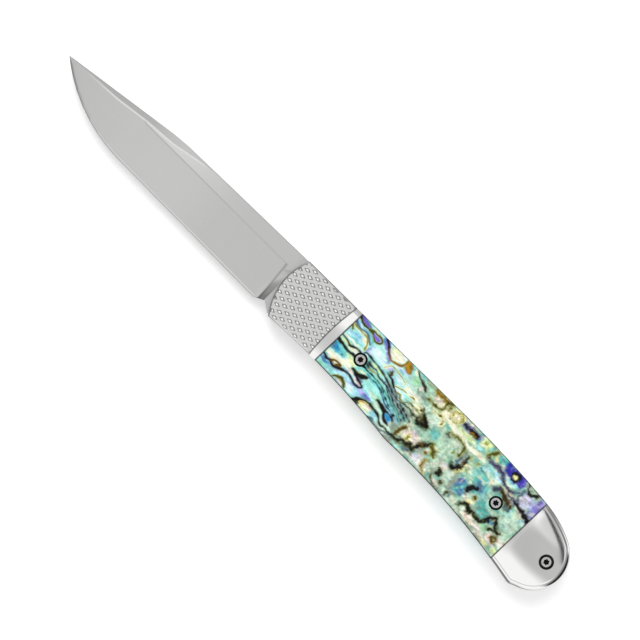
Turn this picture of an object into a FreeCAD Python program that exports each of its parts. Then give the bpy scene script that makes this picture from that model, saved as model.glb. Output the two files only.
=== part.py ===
import FreeCAD, Part
import math
import os
import re

import Sketcher

# Folding knife with a hidden bolster release, drawn open and lying on its rear side.
# Outlines are drawn about the blade pivot: X runs to the butt, Y to the spine, Z to the show side.
# Every body is then shifted so that the origin is the middle of the underside.

Vector = FreeCAD.Vector

# Alias, value in millimetres or degrees, and what it measures.
SIZES = [
    ("scale_thick", "3.3", "scale, collar, bolster and cap layer on each side"),
    ("liner_thick", "1.2", "liner plate"),
    ("blade_thick", "3.0", "blade stock"),
    ("washer_thick", "0.3", "pivot washer"),
    ("front_top_x", "-6.57", "front end of the back, along the knife"),
    ("front_top_y", "9.76", "front end of the back, height above the pivot"),
    ("handle_reach", "99.92", "pivot to the butt"),
    ("back_slope", "0.323", "rise of the straight back, in degrees"),
    ("back_radius", "313", "arc of the rear back"),
    ("back_angle", "5.78", "angle of that arc"),
    ("shoulder_radius", "31.3", "arc from the back to the butt"),
    ("shoulder_angle", "20.8", "angle of that arc"),
    ("butt_radius", "9.9", "round butt"),
    ("butt_angle", "133.7", "angle of the round butt"),
    ("beak_inset", "9.06", "lower corner of the butt, from the butt"),
    ("beak_y", "-13.64", "lower corner of the butt, height"),
    ("beak_round", "2.0", "rounding of that corner"),
    ("rear_groove_radius", "212.5", "rear finger groove"),
    ("swell_inset", "59.06", "swell between the finger grooves, from the butt"),
    ("swell_y", "-9.68", "swell between the finger grooves, height"),
    ("swell_round", "12", "rounding of the swell"),
    ("front_groove_radius", "241.4", "front finger groove"),
    ("front_low_x", "-4.11", "lower front corner of the bolster, along the knife"),
    ("front_low_y", "-8.33", "lower front corner of the bolster, height"),
    ("nose_radius", "17.3", "front edge of the bolster"),
    ("rim_bevel", "0.8", "bevelled rim of bolster and collar"),
    ("scale_round", "0.7", "rounded rim of the scale"),
    ("cap_round", "1.5", "rounded rim of the butt cap"),
    ("collar_back_x", "13.0", "joint of collar and scale"),
    ("cap_length", "16.5", "butt cap along the knife"),
    ("seam_tilt", "1.5", "slant of both joints"),
    ("joint_gap", "0.2", "open joint between collar, scale and cap"),
    ("swing_inset", "9.73", "swing axis of the release, from the butt cap"),
    ("swing_y", "-0.80", "swing axis of the release, height"),
    ("collar_width", "2.58", "collar along the knife, level with the swing axis"),
    ("seam_gap", "0.15", "running gap in that seam"),
    ("release_angle", "1.2", "swing of the release"),
    ("leaf_screw_x", "21.42", "front scale screw, along the knife"),
    ("leaf_screw_y", "0.80", "front scale screw and lock stud, height"),
    ("butt_screw_inset", "5.67", "butt screw, from the butt"),
    ("butt_screw_y", "-2.45", "butt screw, height"),
    ("head_radius", "1.34", "screw head"),
    ("head_depth", "1.0", "screw head thickness"),
    ("head_sink", "0.25", "screw head below the surface"),
    ("sink_radius", "1.92", "counterbore in the scales"),
    ("cap_sink_radius", "2.05", "counterbore in the butt caps"),
    ("socket_radius", "0.92", "star recess, tips"),
    ("socket_depth", "0.7", "star recess"),
    ("shank_radius", "0.85", "screw shank"),
    ("fit", "0.05", "radial clearance of pins and shanks"),
    ("pivot_radius", "2.2", "pivot barrel"),
    ("pivot_head_radius", "3.0", "pivot heads under the bolsters"),
    ("pivot_head_depth", "0.6", "pivot heads"),
    ("pivot_screw_radius", "1.3", "pivot screw shank"),
    ("washer_inset", "0.3", "pivot washers inside the round of the tang"),
    ("tang_wall", "1.0", "round end of the tang, outside the spring well"),
    ("stop_radius", "1.2", "stop pin"),
    ("stop_gap", "0.02", "stop pin clear of the tang"),
    ("stud_x", "4.3", "lock stud, along the knife"),
    ("stud_radius", "0.85", "lock stud"),
    ("stud_bite", "0.6", "lock stud in the tang"),
    ("stud_play", "0.1", "clearance round the lock stud"),
    ("spine_x", "-6.9", "spine where it leaves the bolster, along the knife"),
    ("spine_step", "0.13", "spine below the back where it leaves the bolster"),
    ("clip_run", "37.43", "bend of the spine, from the tip"),
    ("clip_drop", "0.87", "bend of the spine below its start"),
    ("tip_inset", "9.19", "tip of the closed blade, from the butt"),
    ("tip_y", "3.52", "blade tip, height"),
    ("heel_x", "-10.74", "heel of the edge, along the knife"),
    ("edge_room", "0.3", "closed edge clear of the back spacer"),
    ("belly_run", "29.45", "curved belly, from the tip"),
    ("belly_rise", "0.55", "rise of the straight edge"),
    ("heel_run", "1.44", "heel of the edge, ahead of the notch"),
    ("choil_depth", "1.46", "notch behind the heel"),
    ("choil_run", "1.6", "notch along the knife"),
    ("kick_run", "2.8", "slanted underside of the tang"),
    ("kick_drop", "0.4", "underside of the tang, below the heel"),
    ("plunge_inset", "0.25", "end of the plunge, ahead of the notch's end"),
    ("plunge_run", "1.75", "slant of the plunge, along the knife"),
    ("plunge_drop", "1.6", "corner taken off the ground face at the plunge"),
    ("grind_y", "5.37", "top of the ground face"),
    ("edge_land", "0.7", "height of the edge bevel"),
    ("edge_half", "0.24", "half thickness behind the edge bevel"),
    ("swedge_run", "49.33", "false edge, from the tip"),
    ("swedge_bend_run", "36.08", "bend of the false edge line, from the tip"),
    ("swedge_rise", "0.86", "that bend, above the ground face"),
    ("ridge_run", "27.63", "where false edge and ground face meet, from the tip"),
    ("ridge_low_run", "17.53", "lowest bend of the ridge, from the tip"),
    ("ridge_drop", "1.27", "lowest bend of the ridge, below the ground face"),
    ("spine_half", "0.55", "half thickness of the spine on the false edge"),
    ("spine_ease", "0.12", "eased corner of the spine, across the blade"),
    ("spine_ease_drop", "0.25", "eased corner of the spine, down the blade"),
    ("ridge_land", "0.3", "narrow flat along the ridge"),
    ("spacer_width", "1.9", "back spacer along the spine"),
    ("spacer_front_x", "13.5", "front end of the back spacer"),
    ("spacer_bend_inset", "11.42", "where the back spacer widens, from the butt cap"),
    ("spacer_pin_radius", "0.55", "back spacer pin"),
    ("barrel_radius", "1.5", "butt barrel"),
    ("tip_room", "0.8", "clearance ahead of the closed tip"),
    ("pin_radius", "0.8", "locating pins of bolster, collars and caps"),
    ("pin_bite", "1.2", "locating pins in those pieces"),
    ("arm_thick", "0.8", "release arm"),
    ("slide_gap", "0.1", "clearance above and below the release"),
    ("arm_low_y", "-4.3", "lower edge of the release arm"),
    ("arm_high_y", "4.8", "upper edge of the release arm"),
    ("arm_taper_x", "28", "where the release arm narrows"),
    ("arm_eye_radius", "3.4", "eye of the release arm"),
    ("bush_radius", "1.9", "bushes of the release arm and the lock spring"),
    ("fork_x", "-3.5", "front of the release fork"),
    ("fork_gap", "0.55", "root of the release fork, from the lock stud"),
    ("fork_width", "2.4", "tine of the release fork"),
    ("rivet_radius", "0.6", "release rivets"),
    ("leaf_thick", "0.5", "lock spring"),
    ("leaf_half", "2.0", "half width of the lock spring"),
    ("waist_half", "1.1", "half width of the lock spring at the cam"),
    ("roof", "1.1", "skin over the recess of the release"),
    ("cam_x", "8.0", "cam on the release arm, along the knife"),
    ("cam_length", "1.3", "cam along the knife"),
    ("cam_width", "1.3", "cam ramp across the knife"),
    ("well_gap", "0.81", "well in the tang, outside the kick spring"),
    ("spring_height", "1.4", "kick spring"),
    ("spring_strip", "0.4", "kick spring strip"),
    ("spring_gap", "0.35", "kick spring, from the pivot barrel"),
    ("spring_spread", "0.36", "spacing of the halves of the kick spring"),
    ("knurl_pitch", "1.77", "distance of knurl grooves"),
    ("knurl_angle", "29.15", "slant of the knurl grooves, either way from their middle line"),
    ("knurl_turn_angle", "3.05", "middle line of the knurl, against the length of the knife"),
    ("knurl_rising", "-0.435", "rising groove nearest the pivot"),
    ("knurl_falling", "0.145", "falling groove nearest the pivot"),
    ("knurl_depth", "0.4", "knurl grooves"),
    ("knurl_floor", "0.7", "floor of a knurl groove"),
    ("knurl_top", "0.3", "flat left on a knurl point"),
]

SPRING_HALF_TURNS = 4

# Names for values worked out from the sizes.
WORKED = {
    "rear_liner_z": "scale_thick",
    "slot_z": "scale_thick + liner_thick",
    "slot_wide": "blade_thick + 2 * washer_thick",
    "front_liner_z": "slot_z + slot_wide",
    "front_z": "front_liner_z + liner_thick",
    "full_thick": "front_z + scale_thick",
    "liner_span": "slot_wide + 2 * liner_thick",
    "blade_z": "slot_z + washer_thick",
    "back_rise": "(back_slope * 1 deg)",
    "shoulder_dir": "(back_rise - back_angle * 1 deg)",
    "butt_dir": "(shoulder_dir - shoulder_angle * 1 deg)",
    "heel_dir": "(butt_dir - butt_angle * 1 deg)",
    "rear_arc": "back_radius * (sin(back_rise) - sin(shoulder_dir))",
    "shoulder_arc": "shoulder_radius * (sin(shoulder_dir) - sin(butt_dir))",
    "butt_x": "handle_reach - butt_radius * (sin(butt_dir) + 1)",
    "shoulder_x": "butt_x - shoulder_arc",
    "back_end_x": "shoulder_x - rear_arc",
    "back_end_y": "front_top_y + (back_end_x - front_top_x) * tan(back_rise)",
    "shoulder_y": "back_end_y - back_radius * (cos(back_rise) - cos(shoulder_dir))",
    "butt_y": "shoulder_y - shoulder_radius * (cos(shoulder_dir) - cos(butt_dir))",
    "butt_end_x": "butt_x + butt_radius * (sin(butt_dir) - sin(heel_dir))",
    "butt_end_y": "butt_y - butt_radius * (cos(butt_dir) - cos(heel_dir))",
    "crown": "back_end_y + back_radius * (1 - cos(back_rise))",
    "beak_x": "handle_reach - beak_inset",
    "swell_x": "handle_reach - swell_inset",
    "cap_front_x": "handle_reach - cap_length",
    "swing_x": "cap_front_x - swing_inset",
    "butt_screw_x": "handle_reach - butt_screw_inset",
    "seam_radius": "swing_x - collar_back_x + collar_width",
    "tip_x": "(tip_inset - handle_reach)",
    "shift_x": "-tip_inset / 2",
    "shift_y": "-(crown + beak_y) / 2",
    "spring_start": "pivot_radius + spring_gap + spring_strip / 2",
    "spring_reach": f"spring_start + {SPRING_HALF_TURNS} * spring_spread + spring_strip / 2",
    "spring_well": "spring_reach + well_gap",
    "tang_radius": "spring_well + tang_wall",
    "washer_radius": "tang_radius - washer_inset",
    "stop_y": "tang_radius + stop_radius + 0.1",
    "tang_face": "stop_radius + stop_gap",
    "tang_corner": "sqrt((tang_radius)^2 - (stop_radius + stop_gap)^2)",
    "spine_y": "front_top_y - spine_step",
    "clip_x": "tip_x + clip_run",
    "clip_y": "spine_y - clip_drop",
    "spine_slope": "clip_drop / (spine_x - clip_x)",
    "heel_y": "spacer_width + edge_room - front_top_y",
    "belly_x": "tip_x + belly_run",
    "belly_y": "heel_y + belly_rise",
    "choil_x": "heel_x + heel_run",
    "choil_y": "heel_y + choil_depth",
    "choil_end_x": "choil_x + choil_run",
    "kick_x": "choil_end_x + kick_run",
    "kick_y": "heel_y - kick_drop",
    "swedge_x": "tip_x + swedge_run",
    "swedge_bend_x": "tip_x + swedge_bend_run",
    "swedge_bend_y": "grind_y + swedge_rise",
    "ridge_x": "tip_x + ridge_run",
    "ridge_low_x": "tip_x + ridge_low_run",
    "ridge_low_y": "grind_y - ridge_drop",
    "spacer_bend_x": "cap_front_x - spacer_bend_inset",
    "fork_root_x": "stud_x + stud_radius + fork_gap",
    "leaf_lift": "scale_thick - roof - arm_room - leaf_thick",
    "tang_front": "choil_end_x - plunge_inset",
    "plunge_x": "tang_front - plunge_run",
    "arm_room": "arm_thick + 2 * slide_gap",
    "leaf_z": "front_z + arm_room",
    "lift_room": "arm_room + leaf_thick + leaf_lift",
    "stem": "scale_thick - head_sink - head_depth",
    "swing_reach": "(swing_x - fork_x) * sin(release_angle) + 0.2",
    "fork_high_y": "pivot_head_radius + 0.3",
    "fork_low_y": "-(pivot_head_radius + swing_reach)",
}

doc = FreeCAD.newDocument("knife")
sheet = doc.addObject("Spreadsheet::Sheet", "Sizes")
for row, (alias, value, note) in enumerate(SIZES, start=1):
    sheet.set(f"A{row}", note)
    sheet.set(f"B{row}", value)
    sheet.setAlias(f"B{row}", alias)
doc.recompute()
ALIASES = {alias for alias, value, note in SIZES}


def bound(text):
    """Write the expression for text, with worked names opened up and sizes named by their cells."""

    def spell(match):
        word = match.group(0)
        if word in WORKED:
            return f"({bound(WORKED[word])})"
        return f"Sizes.{word}" if word in ALIASES else word

    return re.sub(r"[a-z][a-z_]*", spell, text)


def number(text):
    """Value of an expression."""
    found = sheet.evalExpression(bound(text))
    return float(getattr(found, "Value", found))


def arc_between(start, end, radius, turn):
    """Short arc from start to end, to the left for turn 1 and to the right for turn -1."""
    chord = end - start
    half = chord.Length / 2
    side = Vector(-chord.y, chord.x, 0).normalize() * turn
    middle = start + chord / 2 + side * math.sqrt(radius**2 - half**2)
    circle = Part.Circle(middle, Vector(0, 0, 1), radius)
    first, last = (start, end) if turn > 0 else (end, start)
    return Part.ArcOfCircle(circle, circle.parameter(first), circle.parameter(last))


def draw_ring(sketch, x, y, radius):
    """Circle with its middle and radius bound to sizes."""
    centre = Vector(number(x), number(y), 0)
    geo = sketch.addGeometry(Part.Circle(centre, Vector(0, 0, 1), number(radius)))
    rules = [
        Sketcher.Constraint("DistanceX", geo, 3, centre.x),
        Sketcher.Constraint("DistanceY", geo, 3, centre.y),
        Sketcher.Constraint("Radius", geo, number(radius)),
    ]
    for index, text in zip(sketch.addConstraint(rules), (x, y, radius)):
        sketch.setExpression(f"Constraints[{index}]", bound(text))


def draw_loop(sketch, corners):
    """Closed outline; a corner is (x, y), or (x, y, turn, radius) where an arc leaves it."""
    points = [Vector(number(corner[0]), number(corner[1]), 0) for corner in corners]
    shapes = []
    ends = []
    for index, corner in enumerate(corners):
        start, end = points[index], points[(index + 1) % len(points)]
        if len(corner) == 2:
            shapes.append(Part.LineSegment(start, end))
            ends.append((1, 2))
        else:
            shapes.append(arc_between(start, end, number(corner[3]), corner[2]))
            ends.append((1, 2) if corner[2] > 0 else (2, 1))
    geos = [sketch.addGeometry(shape) for shape in shapes]
    rules = []
    texts = []
    for index, corner in enumerate(corners):
        after = (index + 1) % len(corners)
        geo = geos[index]
        rules.append(Sketcher.Constraint("Coincident", geo, ends[index][1], geos[after], ends[after][0]))
        rules.append(Sketcher.Constraint("DistanceX", geo, ends[index][0], points[index].x))
        rules.append(Sketcher.Constraint("DistanceY", geo, ends[index][0], points[index].y))
        texts += [None, corner[0], corner[1]]
        if len(corner) > 2:
            rules.append(Sketcher.Constraint("Radius", geo, number(corner[3])))
            texts.append(corner[3])
    for index, text in zip(sketch.addConstraint(rules), texts):
        if text:
            sketch.setExpression(f"Constraints[{index}]", bound(text))


def new_body(name, level):
    """Body for one piece, with its underside at level."""
    body = doc.addObject("PartDesign::Body", name)
    body.Label = name
    for axis, text in (("x", "shift_x"), ("y", "shift_y"), ("z", level)):
        body.setExpression(f"Placement.Base.{axis}", bound(text))
    return body


def new_sketch(body, loops, level, plane="XY_Plane"):
    """Sketch of closed loops on a plane of the body, moved along the plane's normal."""
    sketch = body.newObject("Sketcher::SketchObject", f"{body.Name}_sketch")
    support = [item for item in body.Origin.OriginFeatures if item.Role == plane][0]
    sketch.AttachmentSupport = (support, [""])
    sketch.MapMode = "FlatFace"
    sketch.setExpression("AttachmentOffset.Base.z", bound(level))
    for loop in loops:
        if isinstance(loop, tuple):
            draw_ring(sketch, *loop)
        else:
            draw_loop(sketch, loop)
    return sketch


def pad(body, loops, height, level="0"):
    """Raise the loops by height from level."""
    sketch = new_sketch(body, loops, level)
    feature = body.newObject("PartDesign::Pad", f"{body.Name}_pad")
    feature.Profile = sketch
    feature.setExpression("Length", bound(height))
    doc.recompute()
    return feature


def cut(body, loops, depth, level="0", up=True):
    """Cut the loops into the body, upward or downward from level."""
    before = body.Shape.Volume
    sketch = new_sketch(body, loops, level)
    feature = body.newObject("PartDesign::Pocket", f"{body.Name}_cut")
    feature.Profile = sketch
    feature.Reversed = up
    feature.setExpression("Length", bound(depth))
    doc.recompute()
    if not body.Shape.Volume < before:
        raise RuntimeError(f"{body.Label}: a cut removed nothing")
    return feature


def ease_edges(body, kind, amount, wanted):
    """Fillet or chamfer the edges of the body's last feature whose middle and ends suit wanted."""
    feature = body.Tip
    names = []
    for index, edge in enumerate(feature.Shape.Edges, start=1):
        middle = edge.valueAt((edge.FirstParameter + edge.LastParameter) / 2)
        if wanted(middle, [vertex.Point for vertex in edge.Vertexes]):
            names.append(f"Edge{index}")
    if not names:
        raise RuntimeError(f"{body.Label}: no edge to ease")
    eased = body.newObject(f"PartDesign::{kind}", f"{body.Name}_{kind.lower()}")
    eased.Base = (feature, names)
    eased.setExpression("Radius" if kind == "Fillet" else "Size", bound(amount))
    doc.recompute()
    return eased


def round_corner(body, x, y, radius):
    """Round the upright edge at a corner of the outline."""
    place = Vector(number(x), number(y), 0)

    def upright(middle, ends):
        spread = max((Vector(p.x, p.y, 0) - place).Length for p in ends)
        return spread < 0.01 and len(ends) == 2

    return ease_edges(body, "Fillet", radius, upright)


# Outline of the handle, from the front end of the back, clockwise.
HANDLE = [
    ("front_top_x", "front_top_y"),
    ("back_end_x", "back_end_y", -1, "back_radius"),
    ("shoulder_x", "shoulder_y", -1, "shoulder_radius"),
    ("butt_x", "butt_y", -1, "butt_radius"),
    ("butt_end_x", "butt_end_y"),
    ("beak_x", "beak_y", 1, "rear_groove_radius"),
    ("swell_x", "swell_y", 1, "front_groove_radius"),
    ("front_low_x", "front_low_y", -1, "nose_radius"),
]


def box(x_low, x_high, y_low, y_high):
    """Loop of a rectangle."""
    return [(x_low, y_low), (x_high, y_low), (x_high, y_high), (x_low, y_high)]


def beyond(seam, gap, side):
    """Loop of all that lies behind a slanted joint for side 1, or ahead of it for side -1."""
    high = f"{seam} + {gap} + 40 * tan(seam_tilt * 1 deg)"
    low = f"{seam} + {gap} - 40 * tan(seam_tilt * 1 deg)"
    far = f"{side} * 200"
    return [(low, "-40"), (far, "-40"), (far, "40"), (high, "40")]


SEAM_DISC = ("swing_x", "swing_y", "seam_radius + seam_gap")
COLLAR_DISC = ("swing_x", "swing_y", "seam_radius")
KNURL_ROWS = 7
EVERYTHING = box("-200", "200", "-60", "60")


def on_joint(point):
    """Whether a point lies on one of the joints between the pieces of a side."""
    to_swing = math.hypot(point.x - number("swing_x"), point.y - number("swing_y"))
    lean = point.y * math.tan(math.radians(number("seam_tilt")))
    near_collar = abs(point.x - number("collar_back_x") - lean) < 0.3
    near_cap = abs(point.x - number("cap_front_x") - lean) < 0.3
    return near_collar or near_cap or abs(to_swing - number("seam_radius")) < 0.4


def ease_rim(body, rim_z, kind, amount):
    """Ease the outer rim of a side piece, leaving its joints square."""
    height = number(rim_z)

    def rim(middle, ends):
        level = max(abs(point.z - height) for point in ends + [middle])
        return level < 0.001 and not on_joint(middle)

    return ease_edges(body, kind, amount, rim)


def side_body(name, front, removed, kind, amount, corners=()):
    """Piece of the outer layer: the handle's outline less what belongs to its neighbours."""
    body = new_body(name, "front_z" if front else "0")
    pad(body, [HANDLE], "scale_thick")
    for loops in removed:
        cut(body, loops, "scale_thick")
    for x, y, rounding in corners:
        round_corner(body, x, y, rounding)
    ease_rim(body, "scale_thick" if front else "0", kind, amount)
    return body


def sink_screws(body, front, places, radius):
    """Stepped holes for screws that go through a side piece."""
    heads = [(x, y, radius) for x, y in places]
    shanks = [(x, y, "shank_radius + fit") for x, y in places]
    cut(body, shanks, "scale_thick")
    if front:
        cut(body, heads, "head_sink + head_depth", "scale_thick", up=False)
    else:
        cut(body, heads, "head_sink + head_depth")


def pin_holes(body, front, places):
    """Blind holes for locating pins in the inner face of a side piece."""
    holes = [(x, y, "pin_radius + fit / 5") for x, y in places]
    if front:
        cut(body, holes, "pin_bite")
    else:
        cut(body, holes, "pin_bite", "scale_thick", up=False)


def knurl(body, face, way):
    """Two crossing families of grooves over the outer face, which leave rows of points."""
    floor = "knurl_floor / 2"
    wall = "(knurl_pitch - knurl_top - knurl_floor) / 2"
    half = f"({floor} + {wall} * (1 + 0.1 / knurl_depth))"
    for lean, start in ((1, "knurl_rising"), (-1, "knurl_falling")):
        grooves = []
        for row in range(-KNURL_ROWS, KNURL_ROWS + 1):
            middle = f"{row} * knurl_pitch + {start}"
            top = f"{face} + {way} * 0.1"
            bottom = f"{face} - {way} * knurl_depth"
            across = [(f"{middle} - {half}", top), (f"{middle} + {half}", top)]
            across += [(f"{middle} + {floor}", bottom), (f"{middle} - {floor}", bottom)]
            grooves.append(across)
        before = body.Shape.Volume
        sketch = new_sketch(body, grooves, "0", "YZ_Plane")
        slant = number("knurl_turn_angle") + lean * number("knurl_angle")
        turn = FreeCAD.Rotation(Vector(0, 1, 0), slant)
        sketch.AttachmentOffset = FreeCAD.Placement(Vector(0, 0, 0), turn)
        rows = body.newObject("PartDesign::Pocket", f"{body.Name}_grooves")
        rows.Profile = sketch
        rows.Midplane = True
        rows.setExpression("Length", bound("0.8 * handle_reach"))
        doc.recompute()
        share = 1 - body.Shape.Volume / before
        if not 0.01 < share < 0.3:
            raise RuntimeError(f"{body.Label}: the knurl came out wrong")


SCALE_SCREWS = [("leaf_screw_x", "leaf_screw_y"), ("swing_x", "swing_y")]
BUTT_SCREW = [("butt_screw_x", "butt_screw_y")]
COLLAR_MIDDLE = "collar_back_x - collar_width / 2"
COLLAR_PINS = [(f"{COLLAR_MIDDLE} + 0.3", "front_top_y - 1.9"), (COLLAR_MIDDLE, "front_low_y + 2.0")]
BOLSTER_PINS = [("front_top_x + 2.2", "front_top_y - 4.4"), ("front_low_x + 9.6", "front_low_y + 3.1")]
CAP_PINS = [("butt_screw_x - 7", "butt_screw_y - 6.5")]
SPACER_PINS = [
    ("spacer_front_x + 4", "front_top_y - spacer_width / 2 + 0.12"),
    ("back_end_x - 4", "back_end_y - spacer_width / 2"),
    ("spacer_bend_x + 6", "shoulder_y - spacer_width / 2 - 0.2"),
]

# Liners, with the holes of everything that passes through them.
for name, front in (("rear_liner", False), ("front_liner", True)):
    liner = new_body(name, "front_liner_z" if front else "rear_liner_z")
    pad(liner, [HANDLE], "liner_thick")
    round_corner(liner, "beak_x", "beak_y", "beak_round")
    round_corner(liner, "swell_x", "swell_y", "swell_round")
    holes = [("0", "0", "pivot_radius + fit / 5"), ("0", "stop_y", "stop_radius + fit / 5")]
    holes += [(x, y, "spacer_pin_radius + fit / 5") for x, y in SPACER_PINS]
    holes += [(x, y, "shank_radius + fit / 5") for x, y in SCALE_SCREWS]
    holes += [(x, y, "barrel_radius + fit / 5") for x, y in BUTT_SCREW]
    pins = COLLAR_PINS + CAP_PINS + ([] if front else BOLSTER_PINS)
    holes += [(x, y, "pin_radius + fit / 5") for x, y in pins]
    if front:
        holes.append(("stud_x", "leaf_screw_y", "stud_radius + stud_play"))
    cut(liner, holes, "liner_thick")

# Back spacer: the spine and the butt, open where the closed blade lies.
spacer = new_body("back_spacer", "slot_z")
pad(spacer, [HANDLE], "slot_wide")
room_x = "-tip_x + tip_room"
blade_room = [
    ("-60", "-60"),
    ("-60", "60"),
    ("spacer_front_x", "60"),
    ("spacer_front_x", "front_top_y - spacer_width"),
    ("spacer_bend_x", "back_end_y - spacer_width - 0.3"),
    (room_x, "0.6"),
    (room_x, "-60"),
]
cut(spacer, [blade_room], "slot_wide")
spacer_holes = [(x, y, "spacer_pin_radius + fit / 5") for x, y in SPACER_PINS]
spacer_holes += [(x, y, "barrel_radius + fit / 5") for x, y in BUTT_SCREW]
cut(spacer, spacer_holes, "slot_wide")

spacer_pins = new_body("spacer_pins", "rear_liner_z")
pad(spacer_pins, [(x, y, "spacer_pin_radius") for x, y in SPACER_PINS], "liner_span")

# Scales.
SCALE_ENDS = [
    [beyond("collar_back_x", "joint_gap / 2", -1)],
    [beyond("cap_front_x", "-joint_gap / 2", 1)],
]
SWELL = [("swell_x", "swell_y", "swell_round")]
rear_scale = side_body("rear_scale", False, SCALE_ENDS, "Fillet", "scale_round", SWELL)
sink_screws(rear_scale, False, SCALE_SCREWS, "sink_radius")
front_scale = side_body("front_scale", True, SCALE_ENDS, "Fillet", "scale_round", SWELL)
sink_screws(front_scale, True, SCALE_SCREWS, "sink_radius")
arm_channel = [
    ("0", "arm_low_y - 0.2"),
    ("arm_taper_x", "arm_low_y - 0.2"),
    ("swing_x", "swing_y - arm_eye_radius - 0.3", 1, "arm_eye_radius + 0.3"),
    ("swing_x + arm_eye_radius + 0.3", "swing_y", 1, "arm_eye_radius + 0.3"),
    ("swing_x", "swing_y + arm_eye_radius + 0.3"),
    ("arm_taper_x", "arm_high_y + swing_reach"),
    ("0", "arm_high_y + swing_reach"),
]
cut(front_scale, [arm_channel], "arm_room")
leaf_edge = [f"leaf_screw_y {sign} (leaf_half + 0.2)" for sign in ("-", "+")]
leaf_well = box("0", "leaf_screw_x + leaf_half + 0.8", *leaf_edge)
cut(front_scale, [leaf_well], "arm_room + leaf_thick")
cut(front_scale, [box("0", "leaf_screw_x - 4", *leaf_edge)], "lift_room")

# Collars, the narrow polished strips ahead of the scales.
COLLAR_ENDS = [[EVERYTHING, COLLAR_DISC], [beyond("collar_back_x", "-joint_gap / 2", 1)]]
for name, front in (("rear_collar", False), ("front_collar", True)):
    collar = side_body(name, front, COLLAR_ENDS, "Chamfer", "rim_bevel")
    pin_holes(collar, front, COLLAR_PINS)
    if front:
        cut(collar, [box("0", "30", "arm_low_y - 0.2", "arm_high_y + swing_reach")], "lift_room")
collar_pins = new_body("collar_pins", "rear_liner_z - pin_bite")
collar_pads = [(x, y, "pin_radius") for x, y in COLLAR_PINS]
pad(collar_pins, collar_pads, "pin_bite + liner_thick")
pad(collar_pins, collar_pads, "pin_bite + liner_thick", "pin_bite + liner_span - liner_thick")

# Butt caps.
CAP_ENDS = [[beyond("cap_front_x", "joint_gap / 2", -1)]]
BEAK = [("beak_x", "beak_y", "beak_round")]
for name, front in (("rear_butt_cap", False), ("front_butt_cap", True)):
    cap = side_body(name, front, CAP_ENDS, "Fillet", "cap_round", BEAK)
    sink_screws(cap, front, BUTT_SCREW, "cap_sink_radius")
    pin_holes(cap, front, CAP_PINS)
cap_pins = new_body("cap_pins", "rear_liner_z - pin_bite")
cap_pads = [(x, y, "pin_radius") for x, y in CAP_PINS]
pad(cap_pins, cap_pads, "pin_bite + liner_thick")
pad(cap_pins, cap_pads, "pin_bite + liner_thick", "pin_bite + liner_span - liner_thick")

# Rear bolster, fixed.
rear_bolster = side_body("rear_bolster", False, [[SEAM_DISC]], "Chamfer", "rim_bevel")
knurl(rear_bolster, "0", -1)
cut(rear_bolster, [("0", "0", "pivot_head_radius + 0.2")], "pivot_head_depth", "scale_thick", up=False)
pin_holes(rear_bolster, False, BOLSTER_PINS)
bolster_pins = new_body("rear_bolster_pins", "rear_liner_z - pin_bite")
pad(bolster_pins, [(x, y, "pin_radius") for x, y in BOLSTER_PINS], "pin_bite + liner_thick")

# Release: the front bolster, the arm that carries it and their rivets.
bolster = new_body("release_bolster", "front_z + slide_gap")
pad(bolster, [HANDLE], "scale_thick - slide_gap")
cut(bolster, [SEAM_DISC], "scale_thick - slide_gap")
ease_rim(bolster, "scale_thick - slide_gap", "Chamfer", "rim_bevel")
knurl(bolster, "scale_thick - slide_gap", 1)
tine_high = "fork_high_y + fork_width"
tine_low = "fork_low_y - fork_width"
cut(bolster, [box("fork_x - 0.1", "30", f"{tine_low} - 0.1", f"{tine_high} + 0.1")], "arm_thick")
cut(bolster, [box("fork_x - 0.1", "30", "fork_low_y", "fork_high_y")], "lift_room - slide_gap")
RIVETS = [("fork_x + 2.2", "fork_high_y + fork_width / 2"), ("fork_x + 2.2", "fork_low_y - fork_width / 2")]
cut(bolster, [(x, y, "rivet_radius + fit / 5") for x, y in RIVETS], "arm_thick + 1.0")

arm = new_body("release_arm", "front_z + slide_gap")
arm_outline = [
    ("fork_x", tine_low),
    ("fork_root_x + 3.6", tine_low),
    ("fork_root_x + 3.6", "arm_low_y"),
    ("arm_taper_x", "arm_low_y"),
    ("swing_x", "swing_y - arm_eye_radius", 1, "arm_eye_radius"),
    ("swing_x + arm_eye_radius", "swing_y", 1, "arm_eye_radius"),
    ("swing_x", "swing_y + arm_eye_radius"),
    ("arm_taper_x", "arm_high_y"),
    ("fork_root_x + 3.6", "arm_high_y"),
    ("fork_root_x + 3.6", tine_high),
    ("fork_x", tine_high),
    ("fork_x", "fork_high_y"),
    ("fork_root_x", "fork_high_y"),
    ("fork_root_x", "fork_low_y"),
    ("fork_x", "fork_low_y"),
]
pad(arm, [arm_outline], "arm_thick")
slot_radius = "bush_radius + 0.15"
slot_low = "leaf_screw_y - (swing_x - leaf_screw_x) * sin(release_angle * 1 deg)"
bush_slot = [
    (f"leaf_screw_x - ({slot_radius})", slot_low, 1, slot_radius),
    ("leaf_screw_x", f"{slot_low} - ({slot_radius})", 1, slot_radius),
    (f"leaf_screw_x + {slot_radius}", slot_low),
    (f"leaf_screw_x + {slot_radius}", "leaf_screw_y", 1, slot_radius),
    ("leaf_screw_x", f"leaf_screw_y + {slot_radius}", 1, slot_radius),
    (f"leaf_screw_x - ({slot_radius})", "leaf_screw_y"),
]
cut(arm, [bush_slot], "arm_thick")
arm_holes = [(x, y, "rivet_radius + fit / 5") for x, y in RIVETS]
arm_holes.append(("swing_x", "swing_y", "bush_radius + fit"))
cut(arm, arm_holes, "arm_thick")
cam_y = "leaf_screw_y - waist_half - 0.15"
cam_ramp = [
    (f"{cam_y} - cam_width", "arm_thick - 0.2"),
    (cam_y, "arm_thick - 0.2"),
    (f"{cam_y} - cam_width", "arm_thick + leaf_lift"),
]
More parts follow.
